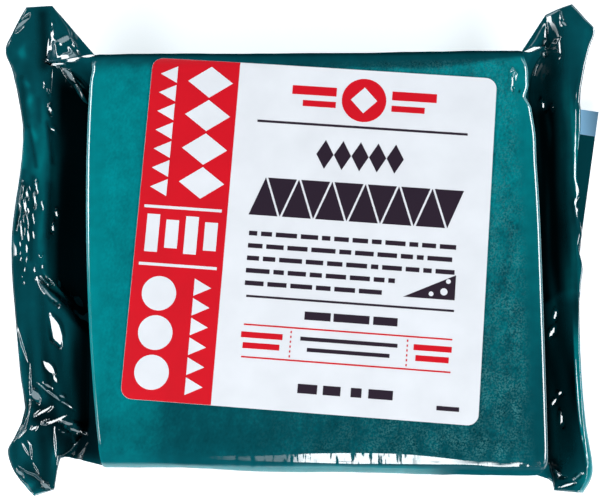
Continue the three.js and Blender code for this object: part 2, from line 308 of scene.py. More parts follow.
# Flat facets of the right fin from its upper ear down, then of the block's near edge and upper right corner
RIGHT_FACETS = (
    Facet(((51.0, 54.2), (51.8, 52.3), (52.0, 50.5), (52.0, 49.0), (51.9, 47.6)), 0.5, (0.38, 0.0), False),
    Facet(((45.8, 45.0), (48.5, 46.2), (51.6, 47.2)), 0.5, TO_RIGHT),
    Facet(((51.0, 46.8), (52.2, 46.0)), 0.6, TO_NEAR_RIGHT),
    Facet(((53.0, 47.8), (54.4, 48.9)), 0.35, TO_RIGHT),
    Facet(((55.0, 55.3), (55.2, 53.2), (56.2, 50.8)), 0.4, TO_RIGHT, False),
    Facet(((54.9, 52.6), (56.0, 51.0)), 0.6, TO_FAR_RIGHT),
    Facet(((54.5, 44.2), (54.6, 43.3)), 0.4, (-0.15, -0.7)),
    Facet(((51.8, 42.4), (52.0, 41.5)), 0.4, (-0.15, -0.7)),
    Facet(((51.2, 36.8), (52.2, 34.2)), 0.55, (-0.15, -0.68)),
    Facet(((53.3, 35.0), (53.3, 33.3)), 0.35, (-0.15, -0.68)),
    Facet(((52.4, -10.6), (52.3, -13.2)), 0.6, ALONG_TROUGH),
    Facet(((52.2, -14.2), (51.1, -17.0)), 0.8, ALONG_TROUGH),
    Facet(((52.9, -28.2), (52.3, -29.4)), 0.65, ALONG_TROUGH),
    Facet(((52.2, -29.6), (50.9, -31.7)), 0.6, ALONG_TROUGH),
    Facet(((52.4, -32.6), (53.0, -36.2)), 0.5, ALONG_TROUGH),
    Facet(((50.9, -45.0), (51.8, -46.4), (52.9, -46.6)), 0.45, (-0.15, -0.42)),
    Facet(((51.4, -48.4), (54.4, -47.6)), 0.45, (-0.15, -0.42)),
    Facet(((54.2, -46.6), (55.9, -45.6)), 0.45, (0.23, -0.41)),
    Facet(((59.7, 44.0), (58.9, 41.5), (58.4, 39.0), (57.9, 36.0), (57.6, 33.0), (57.0, 24.0), (56.8, 18.2),
           (57.2, 13.7), (56.6, 12.2), (56.9, 8.7), (57.3, 5.5), (56.5, 1.8), (57.1, -2.0)), 0.4,
          (0.34, 0.0), False),
    Facet(((55.5, -16.0), (55.6, -24.0), (56.1, -34.0), (56.7, -44.0)), 0.35, (0.34, 0.0), False),
    Facet(((-14.0, -41.2), (2.0, -41.2), (12.0, -41.4), (20.0, -41.5), (26.0, -41.9), (31.5, -42.7)), 1.2,
          (0.0, -0.36), False),
    Facet(((32.5, -42.7), (37.0, -42.9), (43.0, -43.3)), 0.5, (0.0, -0.36), False),
    Facet(((42.6, 39.2), (43.4, 36.5), (44.1, 34.2)), 0.5, (0.44, -0.2)),
    Facet(((42.3, 39.0), (42.6, 34.4)), 0.4, (0.44, -0.2)),
)

# Painted shade along deep folds, as a line, a width and a depth of shade
PAINTED_FOLD_SHADES = (
    (((-60.2, 56.0), (-60.0, 45.0)), 1.6, 0.75),
    (((-59.0, 31.6), (-58.0, 22.8)), 0.5, 0.5),
    (((-63.2, 31.0), (-61.6, 22.0)), 0.5, 0.45),
    (((-61.0, 37.0), (-60.8, 32.0)), 0.6, 0.3),
    (((-65.0, 42.0), (-63.8, 31.0)), 0.8, 0.45),
    (((-64.4, 21.0), (-65.6, 7.0)), 0.7, 0.4),
    (((-62.2, 19.5), (-62.0, 1.0)), 0.6, 0.45),
    (((-58.4, 18.0), (-58.3, 6.0)), 0.6, 0.4),
    (((-60.5, -33.5), (-57.5, -33.0)), 1.0, 0.6),
    (((-61.8, -30.4), (-58.4, -31.0)), 0.9, 0.5),
    (((-53.0, -38.0), (-52.0, -43.0)), 1.3, 0.6),
    (((-62.0, -43.5), (-59.5, -47.0)), 1.3, 0.5),
    (((-58.0, -33.0), (-54.0, -38.5)), 3.4, 0.75),
    (((-58.6, -38.0), (-58.0, -47.0)), 1.8, 0.6),
    (((53.4, 50.0), (53.8, 42.0)), 2.0, 0.55),
)

# Painted patches of soft reflected light on the fins, as a middle, a reach in x and y and how much more
# vivid they look
PAINTED_SHEEN_PATCHES = (
    ((-64.9, 47.6), (1.1, 1.7), 0.30),
    ((-64.2, 40.4), (0.8, 1.2), 0.34),
    ((-63.0, 36.6), (0.8, 1.6), 0.36),
    ((-62.2, 29.6), (0.8, 1.6), 0.30),
    ((-61.8, 22.0), (1.6, 5.0), 0.16),
    ((-56.8, 26.0), (0.7, 6.0), 0.16),
    ((-59.8, 9.0), (0.8, 6.0), 0.16),
    ((-57.2, 14.0), (0.5, 7.0), 0.14),
    ((-63.9, -21.0), (0.8, 3.5), 0.22),
    ((-63.3, -28.0), (1.2, 5.0), 0.30),
    ((-56.0, -38.8), (0.6, 2.8), 0.50),
    ((-52.3, -39.5), (0.6, 2.2), 0.35),
    ((-61.5, -47.3), (1.6, 1.2), 0.40),
    ((-58.8, -49.4), (1.6, 1.0), 0.35),
    ((-58.5, -28.5), (2.0, 2.5), 0.12),
    ((59.8, 49.5), (2.4, 5.5), 0.10),
    ((56.4, 22.0), (1.0, 13.0), 0.22),
    ((56.2, -2.0), (0.9, 6.0), 0.20),
    ((50.6, 24.0), (0.4, 9.0), 0.12),
    ((51.8, 6.0), (0.35, 9.0), 0.14),
    ((52.4, 30.0), (0.35, 3.5), 0.16),
    ((52.0, -10.0), (0.6, 6.0), 0.34),
    ((56.5, -47.5), (2.5, 1.6), 0.40),
)


# Plain sums shared by the shapes below

def smoothstep(value, low, high):
    share = np.clip((value - low) / (high - low), 0.0, 1.0)
    return share * share * (3.0 - 2.0 * share)


def blend(first, second, share):
    return first + (second - first) * share


def curve_through(points, share):
    """Points at shares of the length of a smooth curve through the given ones."""
    knots = np.array(points, dtype=float)
    knots = np.vstack([knots[:1], knots, knots[-1:]])
    pieces = []
    step = np.linspace(0.0, 1.0, 24, endpoint=False)[:, None]
    for before, start, end, after in zip(knots, knots[1:], knots[2:], knots[3:]):
        leave = (end - before) / 2
        arrive = (after - start) / 2
        pieces.append(
            start + leave * step
            + (3 * (end - start) - 2 * leave - arrive) * step ** 2
            + (2 * (start - end) + leave + arrive) * step ** 3
        )
    path = np.vstack([*pieces, knots[-1:]])
    length = np.concatenate([[0.0], np.cumsum(np.linalg.norm(np.diff(path, axis=0), axis=1))])
    run = np.asarray(share) * length[-1]
    return np.interp(run, length, path[:, 0]), np.interp(run, length, path[:, 1])


def profile_height(profile, reach):
    """Height at a reach on a smooth profile given by (reach, height) points."""
    share = np.linspace(0.0, 1.0, 400)
    along, height = curve_through(profile, share)
    return np.interp(reach, along, height)


def distance_to_line(line, x, y):
    """How far each place lies from a line of points, and the share of the line where it is nearest."""
    points = np.array(line, dtype=float)
    steps = np.diff(points, axis=0)
    lengths = np.linalg.norm(steps, axis=1)
    starts = np.concatenate([[0.0], np.cumsum(lengths)[:-1]])
    nearest = np.full(np.shape(x), np.inf)
    share = np.zeros(np.shape(x))
    for point, step, length, start in zip(points, steps, lengths, starts):
        along = np.clip(((x - point[0]) * step[0] + (y - point[1]) * step[1]) / length ** 2, 0.0, 1.0)
        away = np.hypot(x - point[0] - along * step[0], y - point[1] - along * step[1])
        closer = away < nearest
        nearest = np.where(closer, away, nearest)
        share = np.where(closer, (start + along * length) / lengths.sum(), share)
    return nearest, share


def fold_height(folds, x, y):
    """The creases' height at each place: a sharp crest that falls to both sides and fades at its ends."""
    total = np.zeros(np.shape(x))
    crest = 0.06
    for fold in folds:
        away, share = distance_to_line(fold.line, x, y)
        ends = np.clip(np.minimum(share, 1.0 - share) * 5.0, 0.0, 1.0)
        away = np.sqrt(away ** 2 + crest ** 2) - crest
        total += fold.height * np.exp(-away / fold.width) * (0.25 + 0.75 * ends)
    return total


def crumple(x, y, seed, lengths, heights):
    """Flat facets that meet in sharp edges: folded waves in chance directions, from broad to fine."""
    draw = np.random.default_rng(seed)
    total = np.zeros(np.shape(x))
    for length, height in zip(lengths, heights):
        for _ in range(3):
            angle = draw.uniform(0.0, 2.0 * pi)
            phase = draw.uniform(0.0, 1.0)
            along = (x * cos(angle) + y * sin(angle)) / length + phase
            total += height * (4.0 * np.abs(along - np.floor(along) - 0.5) - 1.0) / 3.0
    return total


# The film

def askew(x, y):
    """How far the film over the block is shifted up at a place, as the block is not quite square."""
    far_right = 0.65 * smoothstep(y, 34.0, 44.0) * smoothstep(x, -5.0, 46.0)
    near_left = 0.85 * smoothstep(-y, 34.0, 44.0) * smoothstep(-x, 0.0, 46.0)
    return x * BLOCK_SKEW + far_right + near_left


def half_section(share, sizes):
    """Y and Z on the block's half outline at shares of its length, from the far side over the face."""
    radius = sizes.long_edge_radius / MM
    half = sizes.block_thickness / MM / 2
    flat = sizes.block_width / MM / 2 - radius
    rise = half - radius
    arc = pi / 2 * radius
    run = np.minimum(share, 1.0 - share) * 2 * (rise + arc + flat)
    angle = np.clip((run - rise) / radius, 0.0, pi / 2)
    y = flat + radius * np.cos(angle) - np.clip(run - rise - arc, 0.0, None)
    z = half + np.clip(run, 0.0, rise) + radius * np.sin(angle)
    return np.where(share < 0.5, y, -y), z


def edge_distance(end, y, sizes):
    """How far the block's end edge lies from its middle at a place across the block."""
    half_width = sizes.block_width / MM / 2
    span = np.where(y > end.crest_y, half_width - end.crest_y, half_width + end.crest_y)
    set_back = np.where(y > end.crest_y, end.upper_set_back, end.lower_set_back)
    dented = sum(depth * np.exp(-((y - place) / width) ** 2) for place, depth, width in end.dents)
    return sizes.block_length / MM / 2 + end.crest - set_back * ((y - end.crest_y) / span) ** 2 + dented


def end_edge(end, stage, y, sizes):
    """How far the film has gone out and down round the block's end edge, and how far out it goes in all.

    Where the edge is crisp the film has a narrow slope before a tight turn, and elsewhere it turns evenly.
    """
    steps = np.linspace(0.0, 1.0, 201)
    turn = np.clip(stage, 0.0, 1.0)
    crisp = blend(0.15, 1.0, smoothstep(y, *end.crisp_edge))
    ways = []
    for tilts in ((0.0, 13.5, 40.5, 90.0), (0.0, 18.0, 26.0, 90.0)):
        tilt = np.radians(np.interp(steps, (0.0, 0.15, 0.45, 1.0), tilts))
        run = 1.6 * sizes.end_edge_radius / MM / 200
        out = np.concatenate([[0.0], np.cumsum(np.cos(tilt))[:-1]]) * run
        down = np.concatenate([[0.0], np.cumsum(np.sin(tilt))[:-1]]) * run
        ways.append((np.interp(turn, steps, out), np.interp(turn, steps, down), out[-1]))
    return tuple(blend(even, sharp, crisp) for even, sharp in zip(*ways))


# Shares of a lane over which the film fans out from an ear and stands up along a pulled ridge
FAN_SHARE = 0.09
TENSION_SHARE = 0.005

# Height that the ears come to, and half the width over which a fin's two profiles run into each other
EAR_LEVEL = 11.0
PROFILE_BLUR = 1.6


def root_line(end, share, sizes):
    """Where each lane of film reaches the fin, and how far it belongs to the flat wall, not to an ear."""
    y_block, _ = half_section(share, sizes)
    from_fold = np.minimum(share, 1.0 - share)
    upper = share < 0.5
    ridge_reach = np.where(upper, end.upper_ear.ridge[0], end.lower_ear.ridge[0])
    ridge_y = np.where(upper, end.upper_ear.ridge[1], end.lower_ear.ridge[1])
    tip_reach = np.where(upper, end.upper_ear.tip[0], end.lower_ear.tip[0])
    tip_y = np.where(upper, end.upper_ear.tip[1], end.lower_ear.tip[1])
    ridge_share = np.where(upper, end.upper_ear.ridge_share, end.lower_ear.ridge_share)
    gusset = np.clip(from_fold / ridge_share, 0.0, 1.0)
    inward = smoothstep((from_fold - ridge_share) / FAN_SHARE, 0.0, 1.0)
    reach = blend(blend(tip_reach, ridge_reach, gusset), end.wall_run, inward)
    y = blend(blend(tip_y, ridge_y, gusset), y_block, inward)
    return reach, y, inward


def fin_height(end, reach, y, sizes):
    """Height of the fin's middle layer: a trough by the wall, a ridge further out, waves and raised ears."""
    x = end.direction * (sizes.block_length / MM / 2 + reach)
    below, above = (profile_height(profile, reach) for profile in (end.lower_profile, end.upper_profile))
    height = blend(below, above, upper_zone(end, x, y))
    half_width = sizes.block_width / MM / 2
    upper_ear = smoothstep(y, half_width - end.ear_overlap, end.upper_ear.tip[1])
    lower_ear = smoothstep(-y, half_width - 2.0, -end.lower_ear.tip[1])
    waves = np.sin(2 * pi * y / end.wave_length + end.wave_phase) * smoothstep(reach, 2.0, 9.0)
    level = blend(height, EAR_LEVEL, 0.7 * (upper_ear + lower_ear))
    return level + waves * end.wave_height + upper_ear * end.upper_ear.lift + lower_ear * end.lower_ear.lift


def end_sheet(end, stage, share, face, sizes):
    """The film at one end, with stages to 1 round the block's edge, 2 down the wall and 3 along the fin."""
    half = sizes.block_thickness / MM / 2
    y_block, z_block = half_section(share, sizes)
    out, down, edge_run = end_edge(end, stage, y_block, sizes)
    start_x = edge_distance(end, y_block, sizes) - edge_run + out
    start_y = y_block + askew(end.direction * start_x, y_block)
    start_z = half + face * (z_block - half) * (half - down) / half

    root_reach, root_y, inward = root_line(end, share, sizes)
    cut_reach, cut_y = curve_through(end.cut_edge, share)
    fall = np.clip(stage - 1.0, 0.0, 1.0)
    spread = np.clip(stage - 2.0, 0.0, 1.0)
    reach = blend(root_reach, cut_reach, spread)
    fin_y = blend(root_y, cut_y, spread)
    rim = np.clip((3.0 - stage) * 12.0, 0.0, 1.0) ** 0.5
    hem = np.clip(np.minimum(share, 1.0 - share) * 160.0, 0.0, 1.0) ** 0.5
    layer = face * sizes.fin_thickness / MM / 2 * rim * hem
    fin_z = fin_height(end, reach, fin_y, sizes) + layer

    away = blend(fall, fall ** 2.4, inward)
    x = blend(start_x, sizes.block_length / MM / 2 + reach, away)
    y = blend(start_y, fin_y, fall)
    z = blend(start_z, fin_z, fall)
    from_fold = np.minimum(share, 1.0 - share)
    notch = np.where(share < 0.5, -end.upper_ear.notch, end.lower_ear.notch)
    bulge = np.where(share < 0.5, end.upper_ear.bulge, end.lower_ear.bulge)
    tension = np.where(share < 0.5, end.upper_ear.tension, end.lower_ear.tension)
    ridge_share = np.where(share < 0.5, end.upper_ear.ridge_share, end.lower_ear.ridge_share)
    pull = np.clip(1.0 - from_fold / ridge_share, 0.0, 1.0)
    raised = bulge * np.sin(pi * pull) + tension * np.exp(-np.abs(from_fold - ridge_share) / TENSION_SHARE)
    z = z + raised * np.sin(pi * fall) * (face > 0)
    y = y + notch * pull * np.clip(np.minimum(fall / 0.75, (1.0 - fall) / 0.06), 0.0, 1.0)
    return np.stack(np.broadcast_arrays(end.direction * x, y, z), axis=-1)


def block_sheet(across, share, face, sizes):
    """The film over the block, from its left end at 0 to its right end at 1."""
    half = sizes.block_thickness / MM / 2
    y, z = half_section(share, sizes)
    left = -edge_distance(LEFT_END, y, sizes) + end_edge(LEFT_END, 1.0, y, sizes)[2]
    right = edge_distance(RIGHT_END, y, sizes) - end_edge(RIGHT_END, 1.0, y, sizes)[2]
    x = blend(left, right, across)
    return np.stack(np.broadcast_arrays(x, y + askew(x, y), half + face * (z - half)), axis=-1)


def film_stations():
    """The web's rows from the left cut edge to the right one: the zone of each and its stage there."""
    rows = []
    for zone, fin_rows, drop_rows in zip((LEFT_ZONE, RIGHT_ZONE), FIN_ROWS, DROP_ROWS):
        edge = np.linspace(0.0, 1.0, EDGE_ROWS + 1)
        drop = np.linspace(1.0, 2.0, drop_rows + 1)[1:]
        fin = 2.0 + np.linspace(0.0, 1.0, fin_rows + 1)[1:] ** 0.9
        stage = np.concatenate([edge, drop, fin])
        rows.append(np.stack([np.full(stage.size, zone), stage], axis=1))
    even = (1.0 - np.cos(np.linspace(0.0, pi, BLOCK_ROWS + 1)[1:-1])) / 2
    across = np.sort(np.concatenate([even, np.linspace(*PUCKER_SPAN, PUCKER_ROWS)]))
    middle = np.stack([np.full(across.size, BLOCK_ZONE), across], axis=1)
    return np.concatenate([rows[0][::-1], middle, rows[1]])


def film_lanes():
    """The web's lanes: over the face from fold to fold, then back under the block, as shares and faces."""
    over, under = np.zeros(1), np.zeros(1)
    for limit, lanes in FACE_LANES:
        over = np.concatenate([over, np.linspace(over[-1], limit, lanes + 1)[1:]])
    for limit, lanes in BACK_LANES:
        under = np.concatenate([under, np.linspace(under[-1], limit, lanes + 1)[1:]])
    under = 1.0 - under[1:]
    share = np.concatenate([over, under])
    face = np.concatenate([np.ones(over.size), -np.ones(under.size)])
    return share, face


def surface_normals(points):
    """Outward directions of a wrapped web of film."""
    along = np.gradient(points, axis=0)
    around = np.gradient(points, axis=1)
    normal = np.cross(around, along)
    length = np.linalg.norm(normal, axis=-1, keepdims=True)
    return normal / np.maximum(length, 1e-9)


# Stages over which the film leaves the block and its creases set in, and the range past a side to an ear
FREE_STAGES = (0.7, 1.05)
CREASED_STAGES = (1.0, 1.6)
EAR_RANGE = (-10.0, 4.0)

# Crumples of the fins and of the block's long edges, as a seed, lengths and heights
BROAD_CRUMPLE = (7, (16.0, 8.0), (0.7, 0.3))
FINE_CRUMPLE = (11, (4.0, 2.2), (0.08, 0.02))
EDGE_CRUMPLE = (5, (34.0, 15.0, 6.0), (0.30, 0.16, 0.05))


class Web(NamedTuple):
    """The smooth wrapped film, with a row for each station and a lane for each share round the block.

    Zone and stage place a row, and share and face a lane. Free is how far the film has left the block,
    ending how far it is past the block's edge and ear how far out it is at a corner.
    """
    points: np.ndarray
    normal: np.ndarray
    zone: np.ndarray
    stage: np.ndarray
    share: np.ndarray
    face: np.ndarray
    free: np.ndarray
    ending: np.ndarray
    ear: np.ndarray


def film_web(sizes):
    """Wraps the film round the block and out along its two fins."""
    stations = film_stations()
    zone = stations[:, 0:1]
    stage = stations[:, 1:2]
    share, face = film_lanes()
    points = np.zeros((len(stations), share.size, 3))
    free = np.zeros(zone.shape)
    ending = np.zeros(zone.shape)
    for number, end in ((LEFT_ZONE, LEFT_END), (RIGHT_ZONE, RIGHT_END)):
        here = zone[:, 0] == number
        points[here] = end_sheet(end, stage[here], share[None, :], face[None, :], sizes)
        free[here] = smoothstep(stage[here], *FREE_STAGES)
        ending[here] = smoothstep(stage[here], *CREASED_STAGES)
    here = zone[:, 0] == BLOCK_ZONE
    points[here] = block_sheet(stage[here], share[None, :], face[None, :], sizes)
    past_side = np.abs(points[..., 1]) - sizes.block_width / MM / 2
    ear = smoothstep(past_side, *EAR_RANGE)
    return Web(points, surface_normals(points), zone, stage, share, face, free, ending, ear)


def film_relief(web, folds, sizes):
    """How far the film stands out from its smooth wrap: its pleat, crumpled facets and puckered edges."""
    x, y = web.points[..., 0], web.points[..., 1]
    left = web.zone == LEFT_ZONE
    lower_left = smoothstep(-y, 22.0, 32.0) * left
    broad = crumple(x, y, *BROAD_CRUMPLE)
    fine = crumple(x, y, *FINE_CRUMPLE)
    loose = np.clip(0.16 + 0.84 * web.ear, 0.0, 1.0) * np.where(left, 1.0 - 0.6 * lower_left, 0.25)
    relief = (folds + loose * (0.55 * broad + fine)) * web.ending
    relief = relief + edge_puckers(web.points, sizes) * (1.0 - web.free)
    rim = np.clip(np.minimum(web.share, 1.0 - web.share) * 60.0, 0.0, 1.0)
    return relief * web.face * (0.3 + 0.7 * rim)


# Ranges across the block and along it that shape the gleam on its near edge, and the foot below the gleam
# with the painted reflection of the floor on it
GLEAM_ACROSS = (38.5, 40.0)
GLEAM_FAINT = (-22.0, -14.0)
GLEAM_WHOLE = (-3.5, -2.0)
GLEAM_TAPER = (28.0, 33.0)
GLEAM_END = (43.6, 45.0)
FOOT_ACROSS = (43.5, 42.7)
FOOT_ALONG = (-28.0, 2.0)
FLOOR_REFLECTION_END = (18.0, 30.0)


def near_edge(web, across):
    """Masks on the near edge: the gleaming band, where its gleam is faint, its foot and where the foot gets
    a painted reflection of the floor.
    """
    x = web.points[..., 0]
    over = 1.0 - web.free
    foot_line = blend(*FOOT_ACROSS, smoothstep(x, *FOOT_ALONG))
    foot = over * smoothstep(-across - foot_line, 0.0, 0.9)
    floor_reflection = foot * (1.0 - smoothstep(x, *FLOOR_REFLECTION_END))
    band = over * smoothstep(-across, *GLEAM_ACROSS) * (1.0 - foot)
    left_end = blend(1.0, 0.88, smoothstep(x, *GLEAM_FAINT)) * (1.0 - smoothstep(x, *GLEAM_WHOLE))
    wavering = -42.15 - 0.25 * smoothstep(x, 30.0, 36.0) + 0.35 * np.sin(0.95 * x)
    right_end = smoothstep(x, *GLEAM_TAPER) * (1.0 - smoothstep(x, *GLEAM_END))
    right_end = right_end * smoothstep(across - wavering, -0.1, 0.2)
    return band, band * np.maximum(left_end, right_end), foot, floor_reflection


# Stages where the wall and the sides of the ears end and the left hem starts, and how steep those sides are
WALL_FOOT = (2.0, 2.25)
GUSSET_FOOT = (1.8, 2.0)
GUSSET_TILT = (-0.95, -0.85)
LEFT_HEM = (2.93, 2.97)


def film_values(web, folds, turned, sizes):
    """The looks kept on the film's points, and where the gleam stays faint over any facet."""
    x, y, z = (web.points[..., axis] for axis in range(3))
    over = 1.0 - web.free
    across = half_section(web.share, sizes)[0][None, :]
    band, faint, foot, floor_reflection = near_edge(web, across)
    tone, hollow = film_tone(web, sizes)
    frost = film_frost(web)
    wall = web.free * (1.0 - smoothstep(web.stage, *WALL_FOOT)) * root_line(LEFT_END, web.share, sizes)[2]
    gusset = web.free * (1.0 - smoothstep(web.stage, *GUSSET_FOOT))
    gusset = gusset * smoothstep(-web.normal[..., 2], *GUSSET_TILT)
    hem = (web.zone == LEFT_ZONE) * smoothstep(web.stage, *LEFT_HEM)
    crease = np.clip(np.abs(folds) / 0.25, 0.0, 1.0)
    left_edge = over * smoothstep(-x, 44.0, 45.5) * smoothstep(-y, -6.0, 8.0)
    far_edge = over * smoothstep(across, 41.3, 42.3) * smoothstep(z, 14.0, 19.0)
    broken = 1.0 - smoothstep(x, 18.0, 22.0) + smoothstep(x, 30.0, 34.0)
    ear_tube = np.exp(-(((x - 53.2) / 1.6) ** 2 + ((y - 50.0) / 2.6) ** 2) ** 2)
    dull = np.maximum.reduce(np.broadcast_arrays(
        wall, hollow * (1.0 - 0.8 * crease), gusset, 0.9 * hem, foot - 0.6 * floor_reflection, 0.9 * left_edge,
        0.9 * ear_tube, far_edge,
    ))
    values = {
        # Painted reflections in the tone: paler on the turned-down hem and on the near edge's foot
        "tone": blend(blend(tone, 0.8, turned), 0.7, floor_reflection),
        "frost": frost,
        # Painted sheen over the frosted face's grain, strongest to the right and towards the near edge
        "haze": 0.4 * frost * smoothstep(x, -25.0, 35.0) * blend(1.0, 0.45, smoothstep(y, -25.0, 30.0)),
        "streaks": band * smoothstep(x, -24.0, -20.0) * broken,
        "matt": wall,
        "dull": dull,
    }
    return values, faint


# The stage at which the lower right fin's hem turns down, and how steeply it does
HEM_STAGE = 2.8
HEM_DROP = 4.5

# How much wider a glint is let in than the gleam that it shows
GLINT_SPREAD = 1.25


def film_points(sizes):
    """Every point of the film with all its relief and facets, and the looks kept on them."""
    web = film_web(sizes)
    x, y = web.points[..., 0], web.points[..., 1]
    folds = np.where(web.zone == LEFT_ZONE, fold_height(LEFT_FOLDS, x, y), 0.0)
    # The hem that turns down also gets a painted sheen in its tone
    turned = (web.zone == RIGHT_ZONE) * smoothstep(web.stage, HEM_STAGE, HEM_STAGE + 0.04)
    turned = turned * smoothstep(-y, 10.0, 20.0)
    lift = web.normal * film_relief(web, folds, sizes)[..., None]
    lift[..., 2] -= turned * np.clip(web.stage - HEM_STAGE, 0.0, 1.0) * HEM_DROP
    values, faint = film_values(web, folds, turned, sizes)
    glints = [
        Facet(((place, top), (place, low)), GLINT_SPREAD * width, TO_LEFT)
        for place, top, low, width in LEFT_GLINTS
    ]
    points, gleam = let_in(web.points + lift, (*LEFT_FACETS, *glints, *RIGHT_FACETS), web.face, web.ending)
    values["dull"] = np.maximum(values["dull"] * (1.0 - gleam), faint)
    return points, values


# Places along a facet where the film's height is read, how near them, and how far off the facet is felt
FACET_STOPS = 13
FACET_BLUR = 0.45
FACET_REACH = 3.5

# How much a crease's lean is stressed
CREASE_STRESS = 1.2


def let_in(points, facets, face, ending):
    """Lets facets into the film, each at the film's own height along its line, and says where they lie."""
    x, y = points[..., 0], points[..., 1]
    height = points[..., 2].copy()
    gleam = np.zeros(x.shape)
    stops = np.linspace(0.0, 1.0, FACET_STOPS)
    middle = FACET_STOPS // 2
    for facet in facets:
        line_x, line_y = along_line(facet.line, stops)
        if facet.broad:
            fall = -facet.lean[0] * (x - line_x[middle]) - facet.lean[1] * (y - line_y[middle])
        else:
            fall = CREASE_STRESS * fall_from_line(facet.line, facet.lean, x, y)
        away, share = distance_to_line(facet.line, x, y)
        width = facet.width * (0.3 + 0.7 * np.sin(pi * share))
        for side in (1.0, -1.0):
            near = (away < FACET_REACH) & (face == side)[None, :] & ((ending > 0.9) | (side > 0.0))
            if not near.any():
                continue
            apart = (x[near][:, None] - line_x) ** 2 + (y[near][:, None] - line_y) ** 2
            weight = np.exp(-apart / FACET_BLUR ** 2) + 1e-12
            levels = (weight * height[near][:, None]).sum(axis=0) / weight.sum(axis=0)
            level = levels[middle] if facet.broad else np.interp(share[near], stops, levels)
            inside = 1.0 - smoothstep(away[near], 0.7 * width[near], 1.3 * width[near])
            height[near] = blend(height[near], facet.rise + fall[near] + level, inside)
            gleam[near] = np.maximum(gleam[near], inside)
    return np.stack([x, y, height], axis=-1), gleam


def along_line(line, share):
    """Points at shares of the length of a line of straight pieces."""
    points = np.array(line, dtype=float)
    length = np.concatenate([[0.0], np.cumsum(np.linalg.norm(np.diff(points, axis=0), axis=1))])
    return [np.interp(share * length[-1], length, points[:, axis]) for axis in range(2)]


def fall_from_line(line, lean, x, y):
    """How far a strip along a line falls at each place, where it slopes by the lean across the line."""
    nearest = np.full(np.shape(x), np.inf)
    fall = np.zeros(np.shape(x))
    steep = np.hypot(*lean)
    for (x0, y0), (x1, y1) in zip(line, line[1:]):
        length = np.hypot(x1 - x0, y1 - y0)
        along = np.clip(((x - x0) * (x1 - x0) + (y - y0) * (y1 - y0)) / length ** 2, 0.0, 1.0)
        off_x = x - x0 - along * (x1 - x0)
        off_y = y - y0 - along * (y1 - y0)
        across = max(abs(lean[0] * (y1 - y0) - lean[1] * (x1 - x0)) / length, 0.6 * steep)
        away = np.hypot(off_x, off_y)
        closer = away < nearest
        nearest = np.where(closer, away, nearest)
        fall = np.where(closer, -(lean[0] * off_x + lean[1] * off_y) * (steep / across) ** 2, fall)
    return fall


def edge_puckers(points, sizes):
    """Uneven film along the block's two rounded long edges."""
    x, y, z = points[..., 0], points[..., 1], points[..., 2]
    level = np.abs(y - x * BLOCK_SKEW) - (sizes.block_width / MM / 2 - sizes.long_edge_radius / MM)
    rounded = smoothstep(level, -2.0, 1.5) * (z > 11.0)
    waves = crumple(x, 3.0 * y, *EDGE_CRUMPLE)
    return waves * rounded * np.where(y < 0.0, 1.0, 0.6)


def upper_zone(end, x, y):
    """Shares of the two fin profiles: 1 above the pleat that parts them and 0 below it."""
    (x0, y0), (x1, y1) = end.profile_line
    side = ((x - x0) * (y1 - y0) - (y - y0) * (x1 - x0)) / sqrt((x1 - x0) ** 2 + (y1 - y0) ** 2)
    return smoothstep(-side, -PROFILE_BLUR, PROFILE_BLUR)


# Tones of the film: painted shade deep in a trough; on the ears, a tone that also paints shade over the far
# edge; and under the block and the fins
TROUGH_SHADE_TONE = 0.035
EAR_TONE_AND_EDGE_SHADE = 0.34
UNDER_TONES = (0.6, 0.42)


def block_tone(points):
    """Tone of the film on the block: brighter upwards and to the left, with painted shade over the far edge.
    """
    x, y, z = (points[..., axis] for axis in range(3))
    upward = blend(0.38, 0.72, smoothstep(y, -46.0, 36.0))
    tone = blend(upward, blend(0.54, 0.79, smoothstep(y, -44.0, -22.0)), smoothstep(-x, 26.0, 40.0))
    soft = smoothstep(-x, -5.0, 25.0)
    # Painted shade: the film over the far rounded edge and down the far wall is darkened
    far_edge = 39.6 + 2.6 * smoothstep(x, 24.0, 46.0) - 1.5 * soft
    tone = blend(tone, EAR_TONE_AND_EDGE_SHADE, smoothstep(y - x * BLOCK_SKEW - far_edge, 0.0, 1.4 + 4.6 * soft))
    tone *= 1.0 - 0.6 * smoothstep(y - askew(x, y), 42.8, 43.8)
    return blend(tone, 0.6, smoothstep(19.0 - z, 0.0, 5.0))


